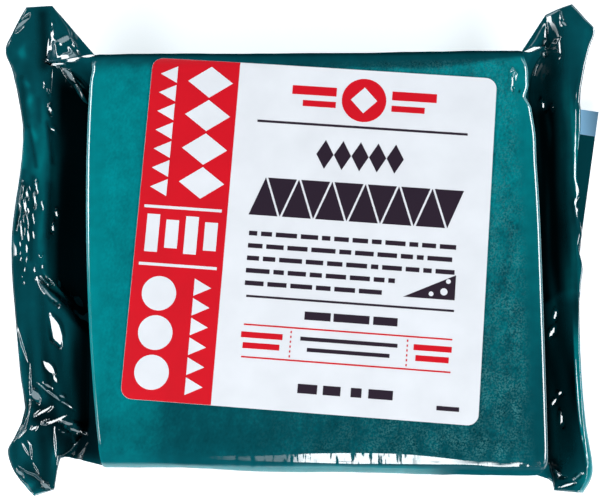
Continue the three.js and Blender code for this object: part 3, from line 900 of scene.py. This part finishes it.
def film_tone(web, sizes):
    """How vivid the film is: bright on the cheese and dark off it, with painted shade black in troughs and
    along deep folds, painted sheen streaks and patches on the fins, and where the troughs are.
    """
    x, y = web.points[..., 0], web.points[..., 1]
    off_block = np.zeros(x.shape)
    trough_shades = np.zeros(x.shape)
    # Painted sheen: soft lighter and darker streaks over the free film
    streaks = 0.08 * np.cos((y - 26.0) / 5.6)
    draws = np.random.default_rng(7)
    for _ in range(9):
        pitch_x = draws.uniform(0.9, 2.6)
        pitch_y = draws.uniform(-0.35, 0.35)
        phase = draws.uniform(0.0, 2.0 * pi)
        sway = 0.8 * np.sin(y / 9.0 + phase)
        streaks = streaks + 0.025 * np.sin(pitch_x * x + pitch_y * y + phase + sway)
    for end in (LEFT_END, RIGHT_END):
        side = end.direction * x > 0
        reach = end.direction * x - sizes.block_length / MM / 2
        upper = upper_zone(end, x, y)
        brink = blend(end.trough[1], end.trough[0], upper)
        # Painted shade: the film in the trough by the wall is turned nearly black
        hollow = smoothstep(brink - reach, 0.0, 1.6) * (1.0 - smoothstep(web.ear, 0.3, 0.9))
        if end.direction > 0:
            hollow *= 1.0 - 0.75 * smoothstep(y, 33.0, 38.0)
        lit = blend(blend(end.lower_tone, end.upper_tone, upper) + streaks, EAR_TONE_AND_EDGE_SHADE, web.ear)
        off_block = np.where(side, blend(lit, TROUGH_SHADE_TONE, hollow), off_block)
        trough_shades = np.where(side, hollow * web.free, trough_shades)
    # Painted sheen: soft patches of reflected light on the fins
    for (middle_x, middle_y), (reach_x, reach_y), gain in PAINTED_SHEEN_PATCHES:
        away_x = (x - middle_x) / reach_x + 0.4 * np.sin(2.0 * y / reach_y + 1.0)
        away_y = (y - middle_y) / reach_y + 0.4 * np.sin(1.2 * x)
        off_block += gain * np.exp(-away_x ** 2 - away_y ** 2)
    # Painted shade along the deep folds
    for line, width, depth in PAINTED_FOLD_SHADES:
        away, _ = distance_to_line(line, x, y)
        off_block *= 1.0 - depth * np.exp(-(away / width) ** 2)
    upper_side = blend(block_tone(web.points), off_block, web.free)
    return np.where(web.face > 0, upper_side, blend(*UNDER_TONES, web.free)), trough_shades


def film_frost(web):
    """How frosted the film is: grainy on the face, most of all at the right, and clear by the edges."""
    x, z = web.points[..., 0], web.points[..., 2]
    margin = smoothstep(45.0 - x, 0.0, 3.5) * smoothstep(x + 46.0, 0.0, 3.0) * smoothstep(z, 21.6, 22.0)
    return (1.0 - web.free) * margin * blend(0.45, 1.0, smoothstep(x, -40.0, 30.0))


def wrap_web(points, values):
    """A flat grid of film wrapped to the given points, with its seam closed and values kept on it."""
    rows, lanes, _ = points.shape
    web = bmesh.new()
    bmesh.ops.create_grid(web, x_segments=rows - 1, y_segments=lanes - 1, size=1.0)
    layers = {name: web.verts.layers.float.new(name) for name in values}
    for vertex in web.verts:
        row = round((vertex.co.x + 1.0) / 2.0 * (rows - 1))
        lane = round((vertex.co.y + 1.0) / 2.0 * (lanes - 1))
        vertex.co = points[row, lane]
        for name, layer in layers.items():
            vertex[layer] = values[name][row, lane]
    bmesh.ops.remove_doubles(web, verts=web.verts, dist=1e-4)
    bmesh.ops.recalc_face_normals(web, faces=web.faces)
    return web


# The loose tail of film behind the right fin

TAIL_CORNER = (64.8, 34.6)
TAIL_TURN = radians(-10.0)
TAIL_HEIGHT = 3.2


def tail_sheet(length, width, lift, thickness):
    """A strip of the tail from its free corner inwards, gently waved, as a closed thin sheet."""
    mesh = bmesh.new()
    bmesh.ops.create_grid(mesh, x_segments=24, y_segments=36, size=0.5)
    for vertex in mesh.verts:
        across = (vertex.co.x - 0.5) * length
        down = (vertex.co.y - 0.5) * width
        vertex.co = (across, down, TAIL_HEIGHT + lift + 0.1 * sin(across * 0.4) * cos(down * 0.22))
    place = Matrix.Translation((*TAIL_CORNER, 0.0)) @ Matrix.Rotation(TAIL_TURN, 4, "Z")
    bmesh.ops.transform(mesh, matrix=place, verts=mesh.verts)
    thicken(mesh, thickness)
    return mesh


def face_order(face):
    """A number for a face from its first points, to put the faces of a mesh in the same order each time."""
    first, second, third = sorted(vertex.index for vertex in face.verts)[:3]
    return (first * 1e5 + second) * 1e5 + third


def thicken(mesh, thickness):
    """Gives an open sheet a thickness below it, with sharp rims."""
    mesh.normal_update()
    bmesh.ops.reverse_faces(mesh, faces=[face for face in mesh.faces if face.normal.z < 0.0])
    bmesh.ops.solidify(mesh, geom=mesh.faces[:], thickness=thickness)
    mesh.verts.index_update()
    mesh.faces.sort(key=face_order)
    bmesh.ops.recalc_face_normals(mesh, faces=mesh.faces)
    for edge in mesh.edges:
        edge.smooth = edge.calc_face_angle(0.0) < radians(40.0)


# The label and its print, drawn flat about the label's middle and then laid on the pack

def add_bar(mesh, x, y, width, height):
    """A flat bar about its middle."""
    place = Matrix.Translation((x, y, 0.0)) @ Matrix.Diagonal((width, height, 1.0, 1.0))
    bmesh.ops.create_grid(mesh, x_segments=1, y_segments=1, size=0.5, matrix=place)


def add_polygon(mesh, x, y, width, height, sides, turn=0.0):
    """A flat even-sided shape about its middle, turned and then stretched."""
    place = Matrix.Translation((x, y, 0.0)) @ Matrix.Diagonal((width, height, 1.0, 1.0))
    place = place @ Matrix.Rotation(radians(turn), 4, "Z")
    bmesh.ops.create_circle(mesh, cap_ends=True, segments=sides, radius=0.5, matrix=place)


def label_outline(sizes, inset=0.0):
    """The label's rounded rectangle as one flat face."""
    mesh = bmesh.new()
    width = sizes.label_width / MM - 2 * inset
    height = sizes.label_height / MM - 2 * inset
    add_bar(mesh, 0.0, 0.0, width, height)
    corner = sizes.label_corner / MM
    bmesh.ops.bevel(mesh, geom=mesh.verts[:], offset=corner, offset_type="OFFSET", segments=8, profile=0.5,
                    affect="VERTICES", material=-1)
    return mesh


def drape(mesh, lift, thickness, pack):
    """Lays a flat drawing on the pack's face and over its rounded edge, and gives it a thickness."""
    place = Matrix.Translation((*LABEL_CENTRE, 0.0)) @ Matrix.Rotation(LABEL_TURN, 4, "Z")
    bmesh.ops.transform(mesh, matrix=place, verts=mesh.verts)
    radius = pack.long_edge_radius / MM
    flat = pack.block_width / MM / 2 - radius
    for step in range(9):
        cut = Vector((0.0, flat + radius * sin(step * pi / 20), 0.0))
        whole = mesh.verts[:] + mesh.edges[:] + mesh.faces[:]
        bmesh.ops.bisect_plane(mesh, geom=whole, plane_co=cut, plane_no=(-BLOCK_SKEW, 1.0, 0.0))
    outer = radius + lift + thickness
    for vertex in mesh.verts:
        past = max(0.0, abs(vertex.co.y - vertex.co.x * BLOCK_SKEW) - flat)
        vertex.co.z = pack.block_thickness / MM - radius + sqrt(max(0.01, outer ** 2 - past ** 2))
    thicken(mesh, thickness)
    return mesh


def add_wedge(mesh, x, y, width, height):
    """A right-angled wedge, a bar cut from corner to corner."""
    part = bmesh.new()
    add_bar(part, 0.0, 0.0, width, height)
    whole = part.verts[:] + part.edges[:] + part.faces[:]
    slope = (-height, width, 0.0)
    bmesh.ops.bisect_plane(part, geom=whole, plane_co=(0.0, 0.0, 0.0), plane_no=slope, clear_outer=True)
    bmesh.ops.translate(part, vec=(x, y, 0.0), verts=part.verts)
    copy = bpy.data.meshes.new("wedge")
    part.to_mesh(copy)
    part.free()
    mesh.from_mesh(copy)
    bpy.data.meshes.remove(copy)


def band_marks(mesh, sizes):
    """Light marks down the coloured band: wedges beside lozenges, a row of bars, discs beside wedges."""
    left = -sizes.label_width / MM / 2
    for number in range(7):
        add_polygon(mesh, left + 4.4, 32.8 - number * 4.1, 4.8, 4.2, 3, 90.0)
    for number in range(4):
        add_polygon(mesh, left + 12.8, 31.6 - number * 7.3, 9.6, 6.8, 4)
    for number, height in enumerate((8.0, 6.0, 8.0, 6.0)):
        add_bar(mesh, left + 3.4 + number * 4.1, -1.6, 2.7, height)
    for number in range(3):
        add_polygon(mesh, left + 6.0, -14.2 - number * 8.2, 7.2, 7.2, 32)
    for number in range(6):
        add_polygon(mesh, left + 14.4, -12.4 - number * 4.1, 4.8, 4.2, 3, -90.0)
    for y in (4.0, -8.2):
        add_bar(mesh, left + 9.4, y, 16.4, 0.6)


def dark_marks(mesh):
    """Dark print: a row of lozenges, a broad row of wedges, lines of bars, rules and a piece of cheese."""
    for number in range(5):
        add_polygon(mesh, 1.6 + number * 3.7, 17.6, 3.6, 6.2, 4)
    for number in range(12):
        down = number % 2
        add_polygon(mesh, -10.4 + number * 3.5, 6.4 + 2.7 * down, 7.0, 10.8, 3, 180.0 * down)
    draw = np.random.default_rng(3)
    for line, end in enumerate((31.0, 31.0, 31.0, 18.0, 17.0)):
        at = -13.0
        while at < end - 1.0:
            length = min(float(draw.uniform(1.4, 5.2)), end - at)
            add_bar(mesh, at + length / 2, -0.2 - line * 2.62, length, 0.95)
            at += length + 0.8
    add_bar(mesh, 9.0, 23.9, 44.4, 0.5)
    add_bar(mesh, 9.0, -13.4, 43.0, 0.45)
    for number, length in enumerate((5.4, 7.4, 5.0)):
        add_bar(mesh, 2.6 + number * 7.0, -16.6, length, 1.7)
    for number, length in enumerate((4.0, 3.6, 2.2, 5.0)):
        add_bar(mesh, 1.6 + number * 5.0, -31.6, length, 1.9)
    for line, length in enumerate((20.0, 17.0)):
        add_bar(mesh, 9.4, -21.4 - line * 2.2, length, 0.8)
    add_bar(mesh, 30.4, -33.4, 4.6, 0.9)
    add_wedge(mesh, 25.2, -8.6, 10.6, 5.2)


def pale_marks(mesh):
    """Paper left bare: a lozenge in the red disc and the holes of the piece of cheese."""
    add_polygon(mesh, 9.0, 29.8, 5.6, 5.6, 4)
    for x, y, size in ((28.2, -9.6, 1.5), (25.6, -10.2, 1.0), (29.0, -7.4, 1.0)):
        add_polygon(mesh, x, y, size, size, 16)


def red_marks(mesh):
    """Red print: a disc between two pairs of bars, rules, dotted dividers and small bars."""
    add_polygon(mesh, 9.0, 29.8, 9.4, 9.4, 36)
    for side in (-1, 1):
        add_bar(mesh, 9.0 + side * 10.6, 31.2, 9.4, 1.9)
        add_bar(mesh, 9.0 + side * 9.4, 28.4, 7.0, 1.3)
    for y in (-19.3, -26.0):
        add_bar(mesh, 9.0, y, 43.0, 0.32)
    for x in (-2.6, 21.4):
        for number in range(6):
            add_bar(mesh, x, -20.2 - number * 1.0, 0.28, 0.45)
    for line in range(2):
        add_bar(mesh, -8.6, -21.4 - line * 2.2, 8.6 - line, 1.2)
        add_bar(mesh, 26.6, -21.4 - line * 2.2, 7.8 - line, 1.2)


# Meshes into the scene

def to_frame(mesh):
    """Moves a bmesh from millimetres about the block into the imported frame."""
    place = Matrix.Scale(MM, 4) @ Matrix.Translation((PACK_SHIFT[0], PACK_SHIFT[1], 0.0))
    bmesh.ops.transform(mesh, matrix=place, verts=mesh.verts)


def add_piece(name, mesh, material, replaced):
    """Makes a piece that rides on the pack from a bmesh in millimetres."""
    to_frame(mesh)
    data = bpy.data.meshes.new(name)
    mesh.to_mesh(data)
    mesh.free()
    data.materials.append(material)
    piece = bpy.data.objects.new(name, data)
    bpy.context.scene.collection.objects.link(piece)
    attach(piece, "root")
    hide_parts(replaced)
    return piece


# Materials

def new_material(name):
    """A new material with its nodes, its links and its main shader."""
    material = bpy.data.materials.new(name)
    material.use_nodes = True
    tree = material.node_tree
    return material, tree.nodes, tree.links, tree.nodes["Principled BSDF"]


def unevenness_group():
    """The group that gives every finish its unevenness: noise on Object coordinates over a range."""
    if "unevenness" in bpy.data.node_groups:
        return bpy.data.node_groups["unevenness"]
    group = bpy.data.node_groups.new("unevenness", "ShaderNodeTree")
    for name, kind in (
        ("Cells per Metre", "NodeSocketFloat"),
        ("Stretch", "NodeSocketVector"),
        ("Turn", "NodeSocketVector"),
        ("Detail", "NodeSocketFloat"),
        ("Low", "NodeSocketFloat"),
        ("High", "NodeSocketFloat"),
    ):
        group.interface.new_socket(name, in_out="INPUT", socket_type=kind)
    group.interface.new_socket("Value", in_out="OUTPUT", socket_type="NodeSocketFloat")
    nodes, links = group.nodes, group.links
    given = nodes.new("NodeGroupInput")
    place = nodes.new("ShaderNodeTexCoord")
    mapping = nodes.new("ShaderNodeMapping")
    mapping.vector_type = "TEXTURE"
    noise = nodes.new("ShaderNodeTexNoise")
    spread = nodes.new("ShaderNodeMapRange")
    spread.inputs["From Min"].default_value = 0.3
    spread.inputs["From Max"].default_value = 0.7
    links.new(place.outputs["Object"], mapping.inputs["Vector"])
    links.new(given.outputs["Stretch"], mapping.inputs["Scale"])
    links.new(given.outputs["Turn"], mapping.inputs["Rotation"])
    links.new(mapping.outputs["Vector"], noise.inputs["Vector"])
    links.new(given.outputs["Cells per Metre"], noise.inputs["Scale"])
    links.new(given.outputs["Detail"], noise.inputs["Detail"])
    links.new(noise.outputs["Fac"], spread.inputs["Value"])
    links.new(given.outputs["Low"], spread.inputs["To Min"])
    links.new(given.outputs["High"], spread.inputs["To Max"])
    links.new(spread.outputs["Result"], nodes.new("NodeGroupOutput").inputs["Value"])
    return group


def unevenness(nodes, cells, low, high, stretch=(1.0, 1.0, 1.0), turn=0.0, detail=3.0):
    """Places the shared unevenness in a material with its own values."""
    node = nodes.new("ShaderNodeGroup")
    node.node_tree = unevenness_group()
    node.inputs["Cells per Metre"].default_value = cells
    node.inputs["Stretch"].default_value = stretch
    node.inputs["Turn"].default_value = (0.0, 0.0, turn)
    node.inputs["Detail"].default_value = detail
    node.inputs["Low"].default_value = low
    node.inputs["High"].default_value = high
    return node.outputs["Value"]


def map_range(nodes, links, value, from_low, from_high, to_low, to_high):
    """Spreads a value from one range over another."""
    node = nodes.new("ShaderNodeMapRange")
    links.new(value, node.inputs["Value"])
    node.inputs["From Min"].default_value = from_low
    node.inputs["From Max"].default_value = from_high
    node.inputs["To Min"].default_value = to_low
    node.inputs["To Max"].default_value = to_high
    return node.outputs["Result"]


def combine(nodes, links, operation, first, second):
    """A sum, difference or product of two values, each a number or a socket."""
    node = nodes.new("ShaderNodeMath")
    node.operation = operation
    for socket, value in zip(node.inputs, (first, second)):
        if isinstance(value, float):
            socket.default_value = value
        else:
            links.new(value, socket)
    return node.outputs["Value"]


def surface_value(nodes, name):
    """A value kept on the piece's own points."""
    node = nodes.new("ShaderNodeAttribute")
    node.attribute_name = name
    return node.outputs["Fac"]


def film_material(finish):
    """Glossy film: vivid where it lies on the cheese, dark where it hangs free, frosted on the face, with
    painted shade and sheen in its colour.
    """
    material, nodes, links, shader = new_material("teal film")

    def times(first, second):
        return combine(nodes, links, "MULTIPLY", first, second)

    def plus(first, second):
        return combine(nodes, links, "ADD", first, second)

    def minus(first, second):
        return combine(nodes, links, "SUBTRACT", first, second)

    tone = surface_value(nodes, "tone")
    frost = surface_value(nodes, "frost")
    mottle = unevenness(nodes, 420.0, 0.93, 1.07, detail=6.0)
    streak = unevenness(nodes, 300.0, 0.94, 1.06, stretch=(1.0, 12.0, 1.0))
    grain = unevenness(nodes, 1900.0, 0.0, 1.0, stretch=(1.0, 1.5, 1.0), turn=radians(-20.0), detail=4.0)
    cloud = unevenness(nodes, 300.0, 0.0, 1.0, stretch=(1.0, 1.8, 1.0), turn=radians(-12.0), detail=4.0)
    brushed = times(minus(plus(grain, cloud), 1.0), frost)
    brushed = map_range(nodes, links, brushed, -1.0, 1.0, 0.6, 1.4)
    uneven = times(times(mottle, streak), brushed)
    # Tones from painted shade through free film to film on the cheese
    ramp = nodes.new("ShaderNodeValToRGB")
    stops = ramp.color_ramp.elements
    stops[0].position = 0.0
    stops[0].color = (*finish.film_shade_colour, 1.0)
    stops[1].position = 1.0
    stops[1].color = (*finish.film_vivid, 1.0)
    middle = stops.new(0.42)
    middle.color = (*finish.film_dark, 1.0)
    links.new(times(tone, uneven), ramp.inputs["Fac"])
    # The frosted face's grain, with a painted sheen mixed into the colour where the haze value says
    speckle = unevenness(nodes, 2600.0, 0.0, 1.0, detail=2.0)
    speckle = map_range(nodes, links, speckle, 0.35, 0.75, 0.0, 1.0)
    mist = times(speckle, unevenness(nodes, 420.0, 0.0, 1.0, stretch=(1.0, 1.6, 1.0)))
    misted = nodes.new("ShaderNodeMix")
    misted.data_type = "RGBA"
    links.new(times(mist, surface_value(nodes, "haze")), misted.inputs["Factor"])
    links.new(ramp.outputs["Color"], misted.inputs["A"])
    misted.inputs["B"].default_value = (*finish.film_sheen, 1.0)
    links.new(misted.outputs["Result"], shader.inputs["Base Color"])
    rough = times(frost, map_range(nodes, links, grain, 0.0, 1.0, 0.16, 0.34))
    matt = times(surface_value(nodes, "matt"), 0.5)
    links.new(plus(plus(rough, matt), 0.08), shader.inputs["Roughness"])
    gaps = unevenness(nodes, 1500.0, 0.0, 1.0, stretch=(1.0, 6.0, 6.0))
    gaps = map_range(nodes, links, gaps, 0.3, 0.44, 1.0, 0.0)
    whole = minus(1.0, times(gaps, surface_value(nodes, "streaks")))
    gloss = minus(1.0, surface_value(nodes, "dull"))
    links.new(times(whole, gloss), shader.inputs["Coat Weight"])
    shader.inputs["IOR"].default_value = 1.0
    shader.inputs["Coat Roughness"].default_value = 0.06
    shader.inputs["Coat IOR"].default_value = 1.95
    return material


def mark_material(finish):
    """The pale printed mark on the tail, darker towards its free end."""
    material, nodes, links, shader = new_material("pale film mark")
    place = nodes.new("ShaderNodeTexCoord")
    parts = nodes.new("ShaderNodeSeparateXYZ")
    links.new(place.outputs["Object"], parts.inputs["Vector"])
    tint = nodes.new("ShaderNodeMix")
    tint.data_type = "RGBA"
    tint.inputs["A"].default_value = (*[min(1.0, 1.35 * value) for value in finish.tail_mark], 1.0)
    tint.inputs["B"].default_value = (*[0.55 * value for value in finish.tail_mark], 1.0)
    free_end = (TAIL_CORNER[0] + PACK_SHIFT[0]) * MM
    deeper = map_range(nodes, links, parts.outputs["X"], free_end - 0.005, free_end, 0.0, 1.0)
    links.new(deeper, tint.inputs["Factor"])
    links.new(tint.outputs["Result"], shader.inputs["Base Color"])
    shader.inputs["Roughness"].default_value = 0.3
    return material


def paper_material(name, colour, roughness=0.42):
    """Smooth coated paper or the ink on it, with a faint unevenness."""
    material, nodes, links, shader = new_material(name)
    tint = nodes.new("ShaderNodeMix")
    tint.data_type = "RGBA"
    tint.inputs["A"].default_value = (*[0.93 * value for value in colour], 1.0)
    tint.inputs["B"].default_value = (*colour, 1.0)
    links.new(unevenness(nodes, 130.0, 0.0, 1.0), tint.inputs["Factor"])
    links.new(tint.outputs["Result"], shader.inputs["Base Color"])
    shader.inputs["Roughness"].default_value = roughness
    return material


# Sizes and colours that a user would change

def length_value(name, description, default):
    return bpy.props.FloatProperty(name=name, description=description, default=default, unit="LENGTH")


def colour_value(name, description, default):
    said = {"name": name, "description": description, "default": default}
    return bpy.props.FloatVectorProperty(**said, size=3, subtype="COLOR")


class PackSizes(bpy.types.PropertyGroup):
    """The wrapped block and its film"""
    block_length: length_value("Block length", "Length of the block across the label", 0.095)
    block_width: length_value("Block width", "Width of the block up the label", 0.0895)
    block_thickness: length_value("Block thickness", "Thickness of the block", 0.022)
    long_edge_radius: length_value("Long edge radius", "Rounding of the two long edges", 0.0044)
    end_edge_radius: length_value("End edge radius", "Rounding of the edges above the fins", 0.00095)
    fin_thickness: length_value("Fin thickness", "Thickness of the two layers of a fin", 0.00045)
    tail_length: length_value("Tail length", "Length of the loose tail, in from its free end", 0.021)
    tail_width: length_value("Tail width", "Width of the loose tail", 0.034)
    tail_mark: length_value("Tail mark", "Height of the pale mark on the tail", 0.0058)


class LabelSizes(bpy.types.PropertyGroup):
    """The label stuck on the pack"""
    label_width: length_value("Label width", "Width of the label", 0.0734)
    label_height: length_value("Label height", "Height of the label", 0.0728)
    label_corner: length_value("Corner radius", "Rounding of the label's corners", 0.0023)
    band_width: length_value("Band width", "Width of the coloured band", 0.0188)
    paper_thickness: length_value("Paper thickness", "Thickness of the label", 0.0003)


class PackFinish(bpy.types.PropertyGroup):
    """The colours of the film, the paper and the inks"""
    film_vivid: colour_value("Film on cheese", "Film pressed on the cheese", (0.0010, 0.287, 0.310))
    film_dark: colour_value("Free film", "Film that hangs free", (0.002, 0.075, 0.092))
    # The colour of the painted sheen on the frosted face
    film_sheen: colour_value("Film haze", "Bloom on the frosted face", (0.11, 0.37, 0.37))
    # The colour of the painted shade in troughs and deep folds, at the bottom of the film's tones
    film_shade_colour: colour_value("Film in a hollow", "Film deep in a fold", (0.0002, 0.002, 0.0035))
    tail_mark: colour_value("Tail mark", "Pale mark on the tail", (0.24, 0.46, 0.66))
    paper: colour_value("Paper", "Paper of the label", (0.85, 0.835, 0.86))
    band: colour_value("Red ink", "Band and red print", (0.70, 0.0015, 0.012))
    ink: colour_value("Dark ink", "Dark print", (0.022, 0.010, 0.022))


# Operators

class CHEDDAR_OT_film(bpy.types.Operator):
    """Wrap the block in creased film with a fin at each end"""
    bl_idname = "cheddar.film"
    bl_label = "Film Wrap"

    def execute(self, context):
        points, values = film_points(context.scene.cheddar_sizes)
        material = film_material(context.scene.cheddar_finish)
        piece = add_piece("film_wrap", wrap_web(points, values), material, "film_pack")
        piece.data.shade_smooth()
        return {"FINISHED"}


class CHEDDAR_OT_tail(bpy.types.Operator):
    """Add the loose tail of film with its pale mark behind the right fin"""
    bl_idname = "cheddar.tail"
    bl_label = "Film Tail"

    def execute(self, context):
        sizes = context.scene.cheddar_sizes
        finish = context.scene.cheddar_finish
        length, width = sizes.tail_length / MM, sizes.tail_width / MM
        strip = tail_sheet(length, width, 0.0, 0.2)
        material = paper_material("tail film", [0.7 * value for value in finish.film_dark], 0.12)
        add_piece("film_tail", strip, material, "film_pack").data.shade_smooth()
        mark = tail_sheet(length, sizes.tail_mark / MM, 0.1, 0.06)
        add_piece("tail_mark", mark, mark_material(finish), "film_pack").data.shade_smooth()
        return {"FINISHED"}


class CHEDDAR_OT_label(bpy.types.Operator):
    """Stick the paper label and its coloured band on the pack"""
    bl_idname = "cheddar.label"
    bl_label = "Paper Label"

    def execute(self, context):
        pack = context.scene.cheddar_sizes
        sizes = context.scene.cheddar_label
        finish = context.scene.cheddar_finish
        thickness = sizes.paper_thickness / MM
        paper = drape(label_outline(sizes), GLUE, thickness, pack)
        add_piece("label_paper", paper, paper_material("label paper", finish.paper), "front_label")
        band = label_outline(sizes, BAND_INSET)
        edge = Vector(((sizes.band_width - sizes.label_width / 2) / MM, 0.0, 0.0))
        whole = band.verts[:] + band.edges[:] + band.faces[:]
        bmesh.ops.bisect_plane(band, geom=whole, plane_co=edge, plane_no=(1.0, 0.0, 0.0), clear_outer=True)
        drape(band, GLUE + thickness, INK, pack)
        add_piece("label_band", band, paper_material("red band", finish.band), "front_label")
        return {"FINISHED"}


class CHEDDAR_OT_print(bpy.types.Operator):
    """Print plain marks on the label in white, dark and red"""
    bl_idname = "cheddar.print"
    bl_label = "Label Print"

    def execute(self, context):
        pack = context.scene.cheddar_sizes
        sizes = context.scene.cheddar_label
        finish = context.scene.cheddar_finish
        paper_top = GLUE + sizes.paper_thickness / MM
        light, dark, red = bmesh.new(), bmesh.new(), bmesh.new()
        band_marks(light, sizes)
        pale_marks(light)
        dark_marks(dark)
        red_marks(red)
        for name, mesh, lift, colour in (
            ("print_light", light, paper_top + INK, finish.paper),
            ("print_dark", dark, paper_top, finish.ink),
            ("print_red", red, paper_top, finish.band),
        ):
            drape(mesh, lift, INK, pack)
            add_piece(name, mesh, paper_material(name.replace("_", " "), colour), "front_label")
        return {"FINISHED"}


class CHEDDAR_OT_stage(bpy.types.Operator):
    """Set the pack on a pale floor with soft light and a camera over it"""
    bl_idname = "cheddar.stage"
    bl_label = "Studio"

    def execute(self, context):
        scene = context.scene
        mesh = bmesh.new()
        bmesh.ops.create_grid(mesh, x_segments=1, y_segments=1, size=2.0)
        data = bpy.data.meshes.new("floor")
        mesh.to_mesh(data)
        mesh.free()
        material, _, _, shader = new_material("pale floor")
        shader.inputs["Base Color"].default_value = (0.93, 0.94, 0.95, 1.0)
        shader.inputs["Roughness"].default_value = 0.9
        shader.inputs["Emission Color"].default_value = (1.0, 1.0, 1.0, 1.0)
        shader.inputs["Emission Strength"].default_value = 0.45
        data.materials.append(material)
        floor = bpy.data.objects.new("floor", data)
        floor.location.z = -0.0002
        scene.collection.objects.link(floor)
        make_lights(scene)
        make_camera(scene)
        return {"FINISHED"}


# The studio

class Strip(NamedTuple):
    """A soft box: its bearing from the pack, height angle, distance, length, width, glow and colour."""
    bearing: float
    rise: float
    distance: float
    length: float
    width: float
    glow: float
    colour: tuple


STRIPS = (
    Strip(180.0, 34.0, 0.75, 0.80, 0.13, 11.0, (0.95, 0.98, 1.0)),
    Strip(0.0, 34.0, 0.75, 0.70, 0.13, 11.0, (0.95, 0.98, 1.0)),
    Strip(-88.0, 40.0, 0.75, 0.28, 0.30, 10.0, (0.95, 0.98, 1.0)),
    Strip(-130.0, 28.0, 0.75, 0.50, 0.20, 2.5, (0.80, 0.94, 1.0)),
    Strip(-50.0, 28.0, 0.75, 0.50, 0.20, 2.5, (0.80, 0.94, 1.0)),
    Strip(130.0, 24.0, 0.75, 0.50, 0.20, 2.5, (0.80, 0.94, 1.0)),
    Strip(50.0, 24.0, 0.75, 0.50, 0.20, 2.5, (0.80, 0.94, 1.0)),
)

# Colours of the studio's surroundings at heights from the horizon at 0 to overhead at 1
SKY = (
    (0.0, (0.40, 0.58, 0.70)),
    (1.0, (0.003, 0.005, 0.007)),
    (0.24, (0.24, 0.38, 0.48)),
    (0.38, (0.03, 0.065, 0.09)),
    (0.8, (0.004, 0.006, 0.008)),
)


def make_lights(scene):
    for number, strip in enumerate(STRIPS):
        light = bpy.data.lights.new(f"soft box {number + 1}", "AREA")
        light.shape = "RECTANGLE"
        light.size = strip.length
        light.size_y = strip.width
        light.color = strip.colour
        light.energy = strip.glow * strip.length * strip.width * pi
        lamp = bpy.data.objects.new(light.name, light)
        bearing = radians(strip.bearing)
        rise = radians(strip.rise)
        place = Vector((cos(bearing) * cos(rise), sin(bearing) * cos(rise), sin(rise))) * strip.distance
        lamp.location = place
        lamp.rotation_euler = place.to_track_quat("Z", "Y").to_euler()
        scene.collection.objects.link(lamp)
    scene.world = dim_studio()
    scene.view_settings.view_transform = "Standard"


def dim_studio():
    """A world that is pale at the horizon, dims quickly above it and is dark overhead."""
    world = bpy.data.worlds.new("dim studio")
    world.use_nodes = True
    nodes, links = world.node_tree.nodes, world.node_tree.links
    parts = nodes.new("ShaderNodeSeparateXYZ")
    links.new(nodes.new("ShaderNodeTexCoord").outputs["Generated"], parts.inputs["Vector"])
    sky = nodes.new("ShaderNodeValToRGB")
    stops = sky.color_ramp.elements
    for number, (height, colour) in enumerate(SKY):
        stop = stops[number] if number < 2 else stops.new(height)
        stop.position = height
        stop.color = (*colour, 1.0)
    links.new(parts.outputs["Z"], sky.inputs["Fac"])
    links.new(sky.outputs["Color"], nodes["Background"].inputs["Color"])
    return world


CAMERA_PLACE = (5.06, -29.66, 249.3)
CAMERA_AIM = (-2.75, 1.09, 22.0)
CAMERA_ROLL = radians(-0.42)
CAMERA_LENS = 66.0


def make_camera(scene):
    data = bpy.data.cameras.new("camera over the label")
    data.sensor_width = 36.0
    data.lens = CAMERA_LENS
    data.clip_start = 0.01
    camera = bpy.data.objects.new("camera over the label", data)
    shift = Vector((PACK_SHIFT[0], PACK_SHIFT[1], 0.0))
    place = Vector(CAMERA_PLACE) + shift
    back = (place - Vector(CAMERA_AIM) - shift).normalized()
    up = (Vector((0.0, 1.0, 0.0)) - back * back.y).normalized()
    right = up.cross(back)
    turned_right = right * cos(CAMERA_ROLL) + up * sin(CAMERA_ROLL)
    turned_up = up * cos(CAMERA_ROLL) - right * sin(CAMERA_ROLL)
    turn = Matrix((turned_right, turned_up, back)).transposed()
    camera.matrix_world = Matrix.Translation(place * MM) @ turn.to_4x4()
    scene.collection.objects.link(camera)
    scene.camera = camera


# The add-on's panel and registration

OPERATORS = (CHEDDAR_OT_film, CHEDDAR_OT_tail, CHEDDAR_OT_label, CHEDDAR_OT_print, CHEDDAR_OT_stage)
GROUPS = {"cheddar_sizes": PackSizes, "cheddar_label": LabelSizes, "cheddar_finish": PackFinish}


class CHEDDAR_PT_pack(bpy.types.Panel):
    """Sizes, colours and the steps that build the pack"""
    bl_idname = "CHEDDAR_PT_pack"
    bl_label = "Cheddar Pack"
    bl_space_type = "VIEW_3D"
    bl_region_type = "UI"
    bl_category = "Cheddar Pack"

    def draw(self, context):
        for name in GROUPS:
            box = self.layout.box()
            group = getattr(context.scene, name)
            for value in group.bl_rna.properties.keys()[2:]:
                box.prop(group, value)
        for operator in OPERATORS:
            self.layout.operator(operator.bl_idname)


def register():
    for item in (*GROUPS.values(), *OPERATORS, CHEDDAR_PT_pack):
        bpy.utils.register_class(item)
    for name, group in GROUPS.items():
        setattr(bpy.types.Scene, name, bpy.props.PointerProperty(type=group))


def unregister():
    for name in GROUPS:
        delattr(bpy.types.Scene, name)
    for item in reversed((*GROUPS.values(), *OPERATORS, CHEDDAR_PT_pack)):
        bpy.utils.unregister_class(item)


def main():
    register()
    bpy.ops.cheddar.film()
    bpy.ops.cheddar.tail()
    bpy.ops.cheddar.label()
    bpy.ops.cheddar.print()
    bpy.ops.cheddar.stage()


if __name__ == "__main__":
    main()
